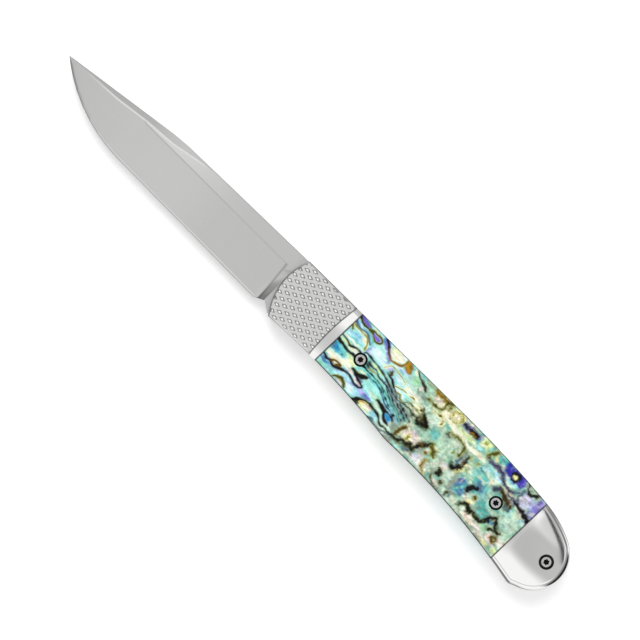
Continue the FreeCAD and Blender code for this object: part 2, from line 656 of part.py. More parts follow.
cam_sketch = new_sketch(arm, [cam_ramp], "cam_x", "YZ_Plane")
cam = arm.newObject("PartDesign::Pad", "release_cam")
cam.Profile = cam_sketch
cam.setExpression("Length", bound("cam_length"))
doc.recompute()

rivets = new_body("release_rivets", "front_z + slide_gap")
pad(rivets, [(x, y, "rivet_radius") for x, y in RIVETS], "arm_thick + 1.0")

for name, (x, y) in (("lock_spring_bush", SCALE_SCREWS[0]), ("arm_bush", SCALE_SCREWS[1])):
    bush = new_body(name, "front_z")
    pad(bush, [(x, y, "bush_radius"), (x, y, "shank_radius + fit")], "arm_room")

# Lock spring: a leaf held by the front scale screw, with the stud at its free end.
leaf = new_body("lock_spring", "leaf_z")
nose_x = "stud_x - 1.4"
root_x = "leaf_screw_x + leaf_half + 0.6"
low, high = (f"leaf_screw_y {sign} leaf_half" for sign in ("-", "+"))
waist = "leaf_screw_y - waist_half"
leaf_outline = [
    (nose_x, low),
    ("cam_x - 0.3", low),
    ("cam_x - 0.3", waist),
    ("cam_x + cam_length + 0.3", waist),
    ("cam_x + cam_length + 0.3", low),
    (root_x, low),
    (root_x, high),
    (nose_x, high),
]
pad(leaf, [leaf_outline, ("leaf_screw_x", "leaf_screw_y", "shank_radius + fit")], "leaf_thick")
stud_length = "arm_room + liner_thick + washer_thick + stud_bite"
pad(leaf, [("stud_x", "leaf_screw_y", "stud_radius")], f"{stud_length} + 0.1", f"-({stud_length})")


def star(x, y):
    """Loop of the six-pointed recess of a screw."""
    loop = []
    for step in range(12):
        reach = "socket_radius" if step % 2 == 0 else "socket_radius * 0.72"
        loop.append((f"{x} + {reach} * cos({30 * step} deg)", f"{y} + {reach} * sin({30 * step} deg)"))
    return loop


def screws(name, places, front, length, level):
    """Screws whose heads face the show side for front, or the rear side."""
    body = new_body(name, level)
    shanks = [(x, y, "shank_radius") for x, y in places]
    heads = [(x, y, "head_radius") for x, y in places]
    if front:
        pad(body, shanks, length)
        pad(body, heads, "head_depth", length)
        cut(body, [star(x, y) for x, y in places], "socket_depth", f"{length} + head_depth", up=False)
    else:
        pad(body, heads, "head_depth")
        pad(body, shanks, length, "head_depth")
        cut(body, [star(x, y) for x, y in places], "socket_depth")
    return body


screws("front_scale_screws", SCALE_SCREWS, True, "stem + liner_thick", "front_liner_z")
screws("rear_scale_screws", SCALE_SCREWS, False, "stem + liner_thick", "head_sink")
screws("front_butt_screw", BUTT_SCREW, True, "stem + 2.0", "front_z - 2.0")
screws("rear_butt_screw", BUTT_SCREW, False, "stem + 2.0", "head_sink")

barrel = new_body("butt_barrel", "rear_liner_z")
pad(barrel, [("butt_screw_x", "butt_screw_y", "barrel_radius")], "liner_span")
cut(barrel, [("butt_screw_x", "butt_screw_y", "shank_radius + fit / 5")], "liner_span")

# Blade pivot, washers and stop.
pivot = new_body("pivot_barrel", "rear_liner_z")
pad(pivot, [("0", "0", "pivot_radius")], "liner_span")
pad(pivot, [("0", "0", "pivot_head_radius")], "pivot_head_depth", "liner_span")
cut(pivot, [("0", "0", "pivot_screw_radius + fit / 5")], "liner_span - 1.0")
key = box("-pivot_radius - 1", "-pivot_screw_radius - 0.35", "-spring_strip", "spring_strip")
cut(pivot, [key], "spring_height + 0.2", "liner_thick + washer_thick")
pivot_screw = new_body("pivot_screw", "rear_liner_z - pivot_head_depth")
pad(pivot_screw, [("0", "0", "pivot_head_radius")], "pivot_head_depth")
pad(pivot_screw, [("0", "0", "pivot_screw_radius")], "liner_span - 1.5", "pivot_head_depth")
cut(pivot_screw, [star("0", "0")], "pivot_head_depth")
rear_washer = new_body("rear_washer", "slot_z")
pad(rear_washer, [("0", "0", "washer_radius"), ("0", "0", "pivot_radius + fit / 5")], "washer_thick")
front_washer = new_body("front_washer", "blade_z + blade_thick")
pad(front_washer, [("0", "0", "washer_radius"), ("0", "0", "pivot_radius + fit / 5")], "washer_thick")
cut(front_washer, [("stud_x", "leaf_screw_y", "stud_radius + stud_play")], "washer_thick")
stop_pin = new_body("stop_pin", "rear_liner_z")
pad(stop_pin, [("0", "stop_y", "stop_radius")], "liner_span")

# Kick spring: a flat strip wound round the pivot, from quarter turns about two middles.
outer, inner = [], []
for half_turn in range(SPRING_HALF_TURNS):
    middle, facing = ("0", "-") if half_turn % 2 == 0 else ("-spring_spread", "+")
    for loop, side in ((outer, "+"), (inner, "-")):
        reach = f"(spring_start + {half_turn} * spring_spread {side} spring_strip / 2)"
        loop.append((f"{middle} {facing} {reach}", "0", 1, reach))
        loop.append((middle, f"0 {facing} {reach}", 1, reach))
last_reach = f"(spring_start + {SPRING_HALF_TURNS - 1} * spring_spread)"
leg_out_x = "-spring_well - 0.3"
leg_in_x = "-pivot_radius + 0.4"
strip = outer + [
    (f"-spring_spread - {last_reach} - spring_strip / 2", "0"),
    (leg_out_x, "0"),
    (leg_out_x, "-spring_strip"),
    (f"-spring_spread - {last_reach} + spring_strip / 2", "-spring_strip"),
    (f"-spring_spread - {last_reach} + spring_strip / 2", "0", -1, inner[-1][3]),
]
for ahead, behind in zip(inner[:0:-1], inner[-2::-1]):
    strip.append((ahead[0], ahead[1], -1, behind[3]))
strip += [
    (inner[0][0], inner[0][1]),
    (leg_in_x, "0"),
    (leg_in_x, "spring_strip"),
    (outer[0][0], "spring_strip"),
]
spring = new_body("kick_spring", "blade_z + 0.05")
pad(spring, [strip], "spring_height")

# Tang, with its holes, and the ground blade ahead of it.
blade = new_body("blade", "blade_z")
spine_at_tang = "spine_y + spine_slope * (tang_front - spine_x)"
tang = [
    ("tang_front", "choil_y"),
    ("tang_front", spine_at_tang),
    ("-(tang_face)", "spine_y + spine_slope * (-(tang_face) - spine_x)"),
    ("-(tang_face)", "tang_corner", -1, "tang_radius"),
    ("tang_radius", "0", -1, "tang_radius"),
    ("-(tang_face)", "-(tang_corner)"),
    ("-(tang_face)", "kick_y"),
    ("kick_x", "kick_y"),
    ("choil_end_x", "choil_y"),
]
pad(blade, [tang], "blade_thick")
cut(blade, [("0", "0", "pivot_radius + 0.03")], "blade_thick")
cut(blade, [("0", "0", "spring_well")], "spring_height + 0.1")
leg_notch = box("-spring_well - 0.4", "-spring_well + 0.4", "-spring_strip - 0.1", "0.1")
cut(blade, [leg_notch], "spring_height + 0.1")
lock_holes = [(f"{sign} * stud_x", f"{sign} * leaf_screw_y", "stud_radius + stud_play") for sign in (1, -1)]
cut(blade, lock_holes, "stud_bite + 0.15", "blade_thick", up=False)

x_stations = [
    "tang_front + 0.1",
    "plunge_x",
    "heel_x",
    "swedge_x",
    "clip_x + 2.5",
    "clip_x - 2.5",
    "belly_x",
    "ridge_x",
]
for part in (0.14, 0.28, 0.42, 0.56, 0.7, 0.82, 0.92, 0.99):
    x_stations.append(f"ridge_x + {part} * (tip_x - ridge_x)")
x_stations.sort(key=number, reverse=True)


def between(x, x_from, y_from, x_to, y_to):
    """Height at x on the line through two places."""
    return f"({y_from}) + (({y_to}) - ({y_from})) * (({x}) - ({x_from})) / (({x_to}) - ({x_from}))"


def spine_height(x):
    """Spine of the blade at x."""
    if number(x) > number("clip_x"):
        return between(x, "spine_x", "spine_y", "clip_x", "clip_y")
    return between(x, "clip_x", "clip_y", "tip_x", "tip_y")


def edge_height(x):
    """Cutting edge of the blade at x: straight, then an arc that meets the tip."""
    if number(x) >= number("belly_x"):
        return between(x, "heel_x", "heel_y", "belly_x", "belly_y")
    rise = "(tip_y - belly_y)"
    run = "(belly_x - tip_x)"
    radius = f"(({run}^2 + {rise}^2) / (2 * {rise}))"
    return f"belly_y + {radius} - sqrt({radius}^2 - (belly_x - ({x}))^2)"


def ridge_height(x):
    """Top of the ground face at x: level, then the ridge that it makes with the false edge."""
    if number(x) >= number("ridge_x"):
        return "grind_y"
    if number(x) >= number("ridge_low_x"):
        return between(x, "ridge_x", "grind_y", "ridge_low_x", "ridge_low_y")
    return between(x, "ridge_low_x", "ridge_low_y", "tip_x", "tip_y - 0.12")


def swedge_height(x):
    """Lower line of the false edge at x."""
    if number(x) >= number("swedge_x"):
        return f"{spine_height(x)} - spine_ease_drop"
    if number(x) >= number("swedge_bend_x"):
        start = f"{spine_height('swedge_x')} - spine_ease_drop"
        return between(x, "swedge_x", start, "swedge_bend_x", "swedge_bend_y")
    if number(x) >= number("ridge_x"):
        return between(x, "swedge_bend_x", "swedge_bend_y", "ridge_x", "grind_y + ridge_land")
    return f"{ridge_height(x)} + ridge_land * (({x}) - tip_x) / (ridge_x - tip_x) + 0.02"


def ridge_thick(x):
    """Half thickness of the blade at the ridge."""
    if number(x) >= number("ridge_x"):
        return "blade_thick / 2"
    return between(x, "ridge_x", "blade_thick / 2", "tip_x", "0.12")


def spine_thick(x):
    """Half thickness of the blade at the spine."""
    if number(x) >= number("swedge_x"):
        return "(blade_thick / 2 - spine_ease)"
    if number(x) >= number("belly_x"):
        return between(x, "swedge_x", "blade_thick / 2 - spine_ease", "belly_x", "spine_half")
    return between(x, "belly_x", "spine_half", "tip_x", "0.08")


sections = []
for index, x in enumerate(x_stations):
    edge, spine, ridge = edge_height(x), spine_height(x), ridge_height(x)
    land = "edge_land"
    behind_edge = "edge_half"
    if index == 0:
        edge, land, behind_edge = "choil_y", "0", "blade_thick / 2"
    elif index == 1:
        edge = between(x, "heel_x", "heel_y", "tang_front + 0.1", "choil_y")
        land = "0.05"
        behind_edge = "edge_half + 0.1"
        ridge = "grind_y - plunge_drop"
    elif number("edge_land") > 0.45 * number(f"{ridge} - ({edge})"):
        land = f"0.45 * ({ridge} - ({edge}))"
        behind_edge = f"0.6 * ({ridge_thick(x)})"
    half_profile = [
        (f"{edge} + {land}", behind_edge),
        (ridge, ridge_thick(x)),
        (swedge_height(x), ridge_thick(x)),
        (spine, spine_thick(x)),
    ]
    right = [(y, f"blade_thick / 2 + {z}") for y, z in half_profile]
    left = [(y, f"blade_thick / 2 - ({z})") for y, z in reversed(half_profile)]
    sections.append(new_sketch(blade, [[(edge, "blade_thick / 2")] + right + left], x, "YZ_Plane"))
grind = blade.newObject("PartDesign::AdditiveLoft", "blade_grind")
grind.Profile = sections[0]
grind.Sections = sections[1:]
grind.Ruled = True
doc.recompute()

os.makedirs("parts", exist_ok=True)
problems = []
for body in [item for item in doc.Objects if item.TypeId == "PartDesign::Body"]:
    for feature in [body] + list(body.Group):
        if "Invalid" in feature.State or "Error" in feature.State:
            problems.append(f"{body.Label}: {feature.Name} is {feature.State}")
    if body.Shape.isNull() or not body.Shape.isValid():
        problems.append(f"{body.Label}: shape is empty or not valid")
    body.Shape.exportStep(f"parts/{body.Label}.step")
if problems:
    raise RuntimeError("; ".join(problems))
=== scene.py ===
"""Looks of the folding pocket knife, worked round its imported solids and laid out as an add-on."""

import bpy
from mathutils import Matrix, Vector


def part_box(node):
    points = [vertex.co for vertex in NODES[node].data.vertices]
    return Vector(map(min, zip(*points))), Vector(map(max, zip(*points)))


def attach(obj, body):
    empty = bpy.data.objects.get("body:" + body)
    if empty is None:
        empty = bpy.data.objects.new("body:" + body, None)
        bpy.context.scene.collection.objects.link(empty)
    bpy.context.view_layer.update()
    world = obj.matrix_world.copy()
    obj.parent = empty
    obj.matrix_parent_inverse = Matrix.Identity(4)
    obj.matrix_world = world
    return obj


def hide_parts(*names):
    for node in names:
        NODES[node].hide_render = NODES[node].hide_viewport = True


bl_info = {
    "name": "Folding pocket knife",
    "version": (1, 0, 0),
    "blender": (4, 5, 0),
    "location": "View3D > Sidebar > Knife",
    "description": "Ground blade, knurled bolsters, shell scales and polished caps of a folding knife",
    "category": "Object",
}

import math
from functools import partial

import bpy
import numpy as np
from bpy.props import FloatProperty, FloatVectorProperty, PointerProperty

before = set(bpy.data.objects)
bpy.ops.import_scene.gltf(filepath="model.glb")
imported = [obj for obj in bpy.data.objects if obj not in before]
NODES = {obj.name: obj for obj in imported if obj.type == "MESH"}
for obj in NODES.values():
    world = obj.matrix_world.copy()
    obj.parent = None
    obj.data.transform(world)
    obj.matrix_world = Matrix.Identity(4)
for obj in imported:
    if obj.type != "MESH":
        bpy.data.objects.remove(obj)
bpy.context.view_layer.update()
MM = 0.001


def middle(node):
    """Middle of a node's box, in millimetres."""
    low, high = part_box(node)
    return np.array((low + high) / 2) / MM


FRONT_SCREW = middle("lock_spring_bush")[:2]
REAR_SCREW = middle("arm_bush")[:2]
BUTT_SCREW = middle("butt_barrel")[:2]
RIDGE = [(0.0, 5.17), (17.2, 6.08), (27.3, 7.44), (35.75, 7.99), (49.0, 10.42)]
SHOW_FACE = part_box("front_scale")[1].z
# In metres.
PLUNGE_X = -0.01437
DARK_EDGE = (0.00008, 0.0003)
CAP_WELL = (0.00203, 0.00208)
FLOOR_HALF = 1.5
LAMP_PLACE = (-0.2, 0.22, 0.62)
# In millimetres.
GLOW_REACH = 1.6
WELL_LIP = 0.02
HOLLOW_INSET = 2.2
BELLY_SIDE = 2
REAR_TURN = 87.5
FLOOR_DROP = 0.02
# Slopes, counts and seeds.
PLUNGE_LEAN = 0.092
CAP_FALL = 1.16
LATTICE, LATTICE_SHIFT = 97, 300
WALL_ROWS, RIM_STEPS = 8, 7
FLOOR_CELLS = 8
FRONT_SEED, REAR_SEED = 11, 47


class KnifeShell(bpy.types.PropertyGroup):
    """Sizes of the shell scales."""

    pitch: FloatProperty(
        name="Pitch",
        description="Grid spacing of the painted shell, in millimetres",
        default=0.17,
    )
    rim_round: FloatProperty(
        name="Rim", description="Rounded rim of a scale, in millimetres", default=0.7
    )
    joint_lean: FloatProperty(
        name="Joint lean",
        description="Slant of the joints at both ends",
        default=math.radians(1.5),
        subtype="ANGLE",
    )
    sink_radius: FloatProperty(
        name="Counterbore",
        description="Counterbore round a scale screw, in millimetres",
        default=1.92,
    )
    sink_depth: FloatProperty(
        name="Counterbore depth", description="Counterbore depth, in millimetres", default=1.25
    )
    skin: FloatProperty(
        name="Skin", description="Shell left above the release, in millimetres", default=1.3
    )


class KnifeSteel(bpy.types.PropertyGroup):
    """Colours of the steels."""

    blade: FloatVectorProperty(
        name="Blade", description="Satin ground blade", default=(0.778, 0.778, 0.771), subtype="COLOR"
    )
    knurl: FloatVectorProperty(
        name="Knurl", description="Matt knurled bolsters", default=(0.93, 0.925, 0.915), subtype="COLOR"
    )
    polish: FloatVectorProperty(
        name="Polish", description="Mirror of collars and caps", default=(0.93, 0.925, 0.92), subtype="COLOR"
    )
    liner: FloatVectorProperty(
        name="Liner", description="Liners and back spacer", default=(0.55, 0.55, 0.55), subtype="COLOR"
    )
    screw: FloatVectorProperty(
        name="Screw", description="Screw heads and pins", default=(0.72, 0.72, 0.71), subtype="COLOR"
    )
    spring: FloatVectorProperty(
        name="Spring", description="Blued springs", default=(0.3, 0.31, 0.34), subtype="COLOR"
    )
    bronze: FloatVectorProperty(
        name="Bronze", description="Pivot washers", default=(0.72, 0.5, 0.26), subtype="COLOR"
    )


class KnifeStudio(bpy.types.PropertyGroup):
    """Camera and light."""

    view_width: FloatProperty(
        name="View width",
        description="Width of the picture at the show face",
        default=0.1698,
        unit="LENGTH",
    )
    view_x: FloatProperty(
        name="View X", description="Middle of the picture, to the butt", default=0.00177, unit="LENGTH"
    )
    view_y: FloatProperty(
        name="View Y", description="Middle of the picture, to the spine", default=0.00244, unit="LENGTH"
    )
    view_roll: FloatProperty(
        name="Roll",
        description="Turn of the camera about the upright axis",
        default=math.radians(44.9),
        subtype="ANGLE",
    )
    lens: FloatProperty(name="Lens", description="Focal length in millimetres", default=400.0)
    sky: FloatProperty(name="Sky", description="Level of the soft light all round", default=1.0)
    key: FloatProperty(name="Key", description="Power of the soft lamp", default=2.6)


class Val:
    """A shader socket that Python expressions can be written with."""

    def __init__(self, finish, socket):
        self.finish = finish
        self.socket = socket

    def math(self, operation, *others):
        values = dict(enumerate((self,) + others))
        return self.finish.add("ShaderNodeMath", {"operation": operation}, values)

    def __add__(self, other):
        return self.math("ADD", other)

    __radd__ = __add__

    def __mul__(self, other):
        return self.math("MULTIPLY", other)

    __rmul__ = __mul__

    def __sub__(self, other):
        return self.math("SUBTRACT", other)

    def __rsub__(self, other):
        return self.finish.add("ShaderNodeMath", {"operation": "SUBTRACT"}, {0: other, 1: self})

    def between(self, low, high):
        """Smooth step of the value from low to high."""
        settings = {"interpolation_type": "SMOOTHSTEP"}
        values = {"Value": self, "From Min": low, "From Max": high}
        return self.finish.add("ShaderNodeMapRange", settings, values)


class Shader:
    """A node tree, and the nodes that make it."""

    def __init__(self, owner):
        owner.use_nodes = True
        self.tree = owner.node_tree

    def put(self, socket, value):
        """Set or link one socket."""
        if isinstance(value, Val):
            self.tree.links.new(value.socket, socket)
        elif socket.type == "RGBA" and len(value) == 3:
            socket.default_value = (*value, 1.0)
        else:
            socket.default_value = value

    def add(self, kind, settings, values, output=0):
        """Add a node: its settings first, then the values or links of its sockets."""
        node = self.tree.nodes.new(kind)
        for name, value in settings.items():
            setattr(node, name, value)
        for name, value in values.items():
            self.put(node.inputs[name], value)
        return Val(self, node.outputs[output])

    def mix(self, factor, first, second):
        """Number between two."""
        return self.add("ShaderNodeMix", {"data_type": "FLOAT"}, {0: factor, 2: first, 3: second})


class Finish(Shader):
    """A material on object coordinates."""

    def __init__(self, name):
        self.material = bpy.data.materials.new(name)
        super().__init__(self.material)
        self.shader = self.tree.nodes["Principled BSDF"]
        self.place = self.add("ShaderNodeTexCoord", {}, {}, "Object")

    def noise(self, scale, detail=2.0, stretch=(1, 1, 1), roughness=0.5):
        """Noise on object coordinates, from 0 to 1, with features about 1 / scale metres."""
        mapped = self.add("ShaderNodeMapping", {}, {"Vector": self.place, "Scale": stretch})
        values = {"Vector": mapped, "Scale": scale, "Detail": detail, "Roughness": roughness}
        return self.add("ShaderNodeTexNoise", {}, values)

    def blend(self, factor, first, second):
        """Colour between two."""
        return self.add("ShaderNodeMix", {"data_type": "RGBA"}, {0: factor, 6: first, 7: second}, 2)

    def bump(self, height, distance, strength=1.0):
        """Normal of a height in metres."""
        return self.add("ShaderNodeBump", {}, {"Height": height, "Distance": distance, "Strength": strength})

    def axis(self, index):
        """One object coordinate, in metres."""
        return self.add("ShaderNodeSeparateXYZ", {}, {"Vector": self.place}, index)

    def reach(self, centre):
        """Distance in metres from an upright line through a place in millimetres."""
        away = [self.axis(index) - centre[index] * MM for index in (0, 1)]
        return (away[0] * away[0] + away[1] * away[1]).math("SQRT")

    def set(self, **sockets):
        """Set the shader's own sockets, with spaces for underscores."""
        for name, value in sockets.items():
            self.put(self.shader.inputs[name.replace("_", " ")], value)
        return self.material


def shade_of(colour, amount):
    """A colour made lighter or darker."""
    return tuple(min(1.0, channel * amount) for channel in colour)


def satin_steel(name, colour, rough, grain, depth=0.000004):
    """Ground steel: fine lines along one axis, faint cloudiness and small pits."""
    finish = Finish(name)
    lines = finish.noise(900, 3.0, grain)
    cloud = finish.noise(60, 2.0)
    pits = finish.noise(2600, 1.0)
    tone = (lines * 0.5 + cloud * 0.5).between(0.25, 0.75)
    base = finish.blend(tone, shade_of(colour, 0.94), shade_of(colour, 1.05))
    height = lines * 0.8 + pits * 0.3
    return finish.set(
        Base_Color=base,
        Metallic=1.0,
        Roughness=rough - 0.05 + lines * 0.1,
        Normal=finish.bump(height, depth, 0.5),
    )


def blade_steel(name, colour):
    """Satin blade: a painted sheen on the full-thick flat, painted shade under it, on the swedge, at the
    plunge, on the edge bevel, along the cutting edge and beside the bolster, and a painted highlight on the
    ridge at the false edge.
    """
    low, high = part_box("blade")
    mid, half = (low.z + high.z) / 2, (high.z - low.z) / 2
    finish = Finish(name)
    speck = finish.noise(1500, 2.0)
    cloud = finish.noise(45, 2.0)
    side = (finish.axis(2) - mid).math("ABSOLUTE")
    flat = side.between(half - 0.00002, half - 0.000005)
    # Painted shade just under the full-thick flat.
    under = side.between(half - 0.00007, half - 0.00004) * (1 - flat)
    along = finish.axis(0) - low.x
    ridge = RIDGE[0][1] * MM
    for (x_from, y_from), (x_to, y_to) in zip(RIDGE, RIDGE[1:]):
        part = (along - x_from * MM).math("MAXIMUM", 0.0).math("MINIMUM", (x_to - x_from) * MM)
        ridge = part * ((y_to - y_from) / (x_to - x_from)) + ridge
    near = (finish.axis(1) - ridge).math("ABSOLUTE")
    # Painted shade on the swedge above the ridge, toward the tip.
    falling = (finish.axis(1) - ridge).between(0.0002, 0.0004) * (1 - along.between(0.012, 0.032))
    # Painted shade along the plunge line.
    plunge = (finish.axis(0) + finish.axis(1) * PLUNGE_LEAN - PLUNGE_X).math("ABSOLUTE")
    plunge = (1 - plunge.between(0.0001, 0.0005)) * (1 - finish.axis(1).between(0.0066, 0.0072))
    # Painted highlight along the ridge line, which also makes it less metallic.
    bright = (1 - near.between(0.0001, 0.00032)) * (1 - along.between(0.044, 0.049))
    bright = bright * along.between(0.003, 0.018)
    tone = along.between(0.0, 0.045) * 0.55 - along.between(0.045, 0.06) * 0.5 + speck * 0.27 + cloud * 0.18
    base = finish.blend(tone, shade_of(colour, 0.93), shade_of(colour, 1.05))
    # Painted sheen: the full-thick flat lighter, most toward the tip.
    painted_flat_sheen = finish.blend(along.between(0.036, 0.066), shade_of(colour, 1.26), shade_of(colour, 1.02))
    base = finish.blend(flat, base, painted_flat_sheen)
    base = finish.blend(under, base, shade_of(colour, 0.86))
    base = finish.blend(falling, base, shade_of(colour, 0.84))
    base = finish.blend(plunge, base, shade_of(colour, 0.66))
    base = finish.blend(bright, base, shade_of(colour, 1.24))
    # Painted shade on the edge bevel, and a darker painted shade line along the cutting edge.
    base = finish.blend(side.between(0.0002, 0.0003), shade_of(colour, 0.9), base)
    base = finish.blend(side.between(0.00004, 0.00014), shade_of(colour, 0.58), base)
    # Painted shade beside the bolster.
    base = finish.blend(along.between(0.0815, 0.0825) * 0.18, base, shade_of(colour, 0.72))
    return finish.set(
        Base_Color=base,
        Metallic=1 - bright * 0.25,
        Roughness=0.26 + speck * 0.06,
        Normal=finish.bump(speck, 0.000003, 0.4),
    )


def polished_steel(name, colour, crown, top, end, limits, hold):
    """Mirror steel: crowned about a line, straight past hold, falling toward an end, with painted shade,
    black, in its well.
    """
    finish = Finish(name)
    smear = finish.noise(160, 2.0, (0.4, 1.0, 1.0))
    hair = finish.noise(1500, 2.0, (0.05, 1.0, 1.0))
    base = finish.blend(smear, shade_of(colour, 0.97), shade_of(colour, 1.02))
    across, along = finish.axis(1), finish.axis(0)
    # Painted shade: black inside the counterbore round the butt screw.
    well = finish.reach(BUTT_SCREW).between(*CAP_WELL)
    past = (along - end).math("MAXIMUM", 0.0)
    over = across.math("MAXIMUM", limits[0]).math("MINIMUM", limits[1]) - top
    held = over.math("MINIMUM", hold)
    rise = (held * over - held * held * 0.5) * (-1 / crown) - past.math("POWER", 1.5) * CAP_FALL
    return finish.set(
        Base_Color=finish.blend(well, (0.01, 0.01, 0.01), base),
        Metallic=well * 0.7 + 0.3,
        Roughness=0.05 + smear * 0.04 + hair * 0.02,
        Normal=finish.bump(rise, 1.0),
    )


def knurled_steel(name, colour, face, way, edges, seam):
    """Matt steel: light groove floors, painted shade on the walls, points polished by wear with a painted
    highlight on them, painted shade along the top and bottom edges, and a dark seam.
    """
    finish = Finish(name)
    grit = finish.noise(2200, 2.0)
    rise = (finish.axis(2) - face) * way
    # Points polished by wear, with a painted highlight on them: lighter and less metallic.
    rubbed_and_highlight = rise.between(-0.0002, -0.00006)
    # Painted shade on the walls between the light groove floors and the points.
    floor = 1 - rise.between(-0.00039, -0.00033)
    base = finish.blend(floor, shade_of(colour, 0.45), shade_of(colour, 1.0))
    base = finish.blend(rubbed_and_highlight, base, shade_of(colour, 1.3))
    # Painted shade along the top and bottom edges.
    for (slope, height), inward in zip(edges, (1, -1)):
        gap = (finish.axis(1) - finish.axis(0) * float(slope) - float(height) * MM) * inward
        base = finish.blend(gap.between(*DARK_EDGE), shade_of(colour, 0.42), base)
    past = finish.reach(REAR_SCREW) - float(seam) * MM
    base = finish.blend(past.between(*DARK_EDGE), shade_of(colour, 0.42), base)
    return finish.set(
        Base_Color=base,
        Metallic=1 - rubbed_and_highlight * 0.75,
        Roughness=0.34 + grit * 0.1 - rubbed_and_highlight * 0.1,
        Normal=finish.bump(grit, 0.000006, 0.5),
    )


def screw_steel(name, colour, face, way):
    """Turned screw steel, with painted shade, black, below the face of the head."""
    finish = Finish(name)
    turned = finish.noise(1400, 2.0)
    depth = (finish.axis(2) - face) * way
    # Painted shade: black below the face of the head, in the recess and down the sides.
    open_face = depth.between(-0.00008, -0.00002)
    base = finish.blend(open_face, (0.012, 0.012, 0.013), shade_of(colour, 1.0))
    return finish.set(
        Base_Color=base,
        Metallic=1.0,
        Roughness=0.3 + turned * 0.12,
        Normal=finish.bump(turned, 0.000003, 0.4),
    )


def shell_finish(name):
    """Polished shell: its painted layers with a fine shimmer along them, under a thin clear gloss."""
    finish = Finish(name)
    layers = finish.add("ShaderNodeVertexColor", {"layer_name": "layers"}, {})
    shimmer = finish.noise(1300, 3.0, (0.45, 1.0, 1.0), 0.6)
    settings = {"blend_type": "MULTIPLY", "data_type": "RGBA"}
    deep = finish.add("ShaderNodeMix", settings, {0: 1.0, 6: layers, 7: (0.78, 0.8, 0.78)}, 2)
    return finish.set(
        Base_Color=finish.blend(shimmer.between(0.35, 0.6), deep, layers),
        Roughness=0.2 + shimmer * 0.08,
        Specular_IOR_Level=0.16,
    )


def dress(node, material):
    """Give a solid of the frame its finish."""
    slots = NODES[node].data.materials
    slots.clear()
    slots.append(material)


def finish_mesh(name, points, faces, material, sharp=35):
    """Object from points in millimetres and faces, smooth except at edges sharper than an angle."""
    mesh = bpy.data.meshes.new(name)
    mesh.from_pydata(points * MM, [], faces)
    mesh.validate()
    mesh.shade_smooth()
    mesh.set_sharp_from_angle(angle=math.radians(sharp))
    mesh.materials.append(material)
    piece = bpy.data.objects.new(name, mesh)
    bpy.context.scene.collection.objects.link(piece)
    return piece


def smooth(low, high, x):
    """Smooth step of x from low to high."""
    t = np.clip((x - low) / (high - low), 0, 1)
    return t * t * (3 - 2 * t)


def lattice_noise(x, y, size, seed):
    """Noise from -1 to 1: numbers on a seeded lattice of that size, joined by smooth steps."""
    table = np.random.default_rng(seed).uniform(-1, 1, (LATTICE, LATTICE))
    u, v = x / size + LATTICE_SHIFT, y / size + LATTICE_SHIFT
    i, j = np.floor(u).astype(int), np.floor(v).astype(int)
    f, g = smooth(0, 1, u - i), smooth(0, 1, v - j)
    corner = [[table[(i + a) % LATTICE, (j + b) % LATTICE] for b in (0, 1)] for a in (0, 1)]
    low = corner[0][0] * (1 - f) + corner[1][0] * f
    high = corner[0][1] * (1 - f) + corner[1][1] * f
    return low * (1 - g) + high * g


def curve_through(points, steps=9):
    """Catmull-Rom curve through points: each span a cubic of its four nearest points."""
    p = np.array(points, float)
    p = np.concatenate([2 * p[:1] - p[1:2], p, 2 * p[-1:] - p[-2:-1]])
    t = np.linspace(0, 1, steps, endpoint=False)[None, :, None]
    a, b, c, d = (p[k : len(p) - 3 + k][:, None, :] for k in range(4))
    spans = 0.5 * (2 * b + (c - a) * t + (2 * a - 5 * b + 4 * c - d) * t**2 + (3 * b - a - 3 * c + d) * t**3)
    return np.concatenate([spans.reshape(-1, p.shape[1]), p[-2:-1]])


SHADES = {
    "mint": (190, 216, 192),
    "aqua": (158, 222, 214),
    "teal": (112, 190, 184),
    "azure": (44, 140, 184),
    "sky": (152, 202, 226),
    "ice": (206, 233, 236),
    "lilac": (174, 168, 226),
    "violet": (112, 100, 182),
    "navy": (50, 48, 150),
    "blue": (92, 148, 204),
    "cream": (241, 234, 204),
    "straw": (227, 220, 160),
    "lime": (205, 225, 160),
    "pink": (233, 208, 198),
    "pearl": (214, 214, 213),
    "moss": (134, 134, 54),
    "gold": (164, 124, 36),
    "brown": (84, 68, 26),
    "olive": (72, 72, 32),
    "slate": (84, 108, 116),
    "stone": (136, 150, 136),
    "dusk": (92, 84, 116),
    "ink": (20, 22, 19),
    "night": (56, 60, 78),
    "fern": (150, 205, 160),
    "sage": (156, 192, 166),
    "khaki": (150, 150, 92),
    "umber": (56, 46, 24),
    "plum": (74, 64, 118),
    "bronze": (128, 96, 26),
    "sea": (88, 172, 164),
    "ocean": (72, 122, 164),
    "mist": (196, 220, 204),
    "ash": (204, 204, 208),
}


def shade(name):
    """Linear colour of a named shade."""
    value = np.array(SHADES[name], float) / 255
    return np.where(value <= 0.04045, value / 12.92, ((value + 0.055) / 1.055) ** 2.4)


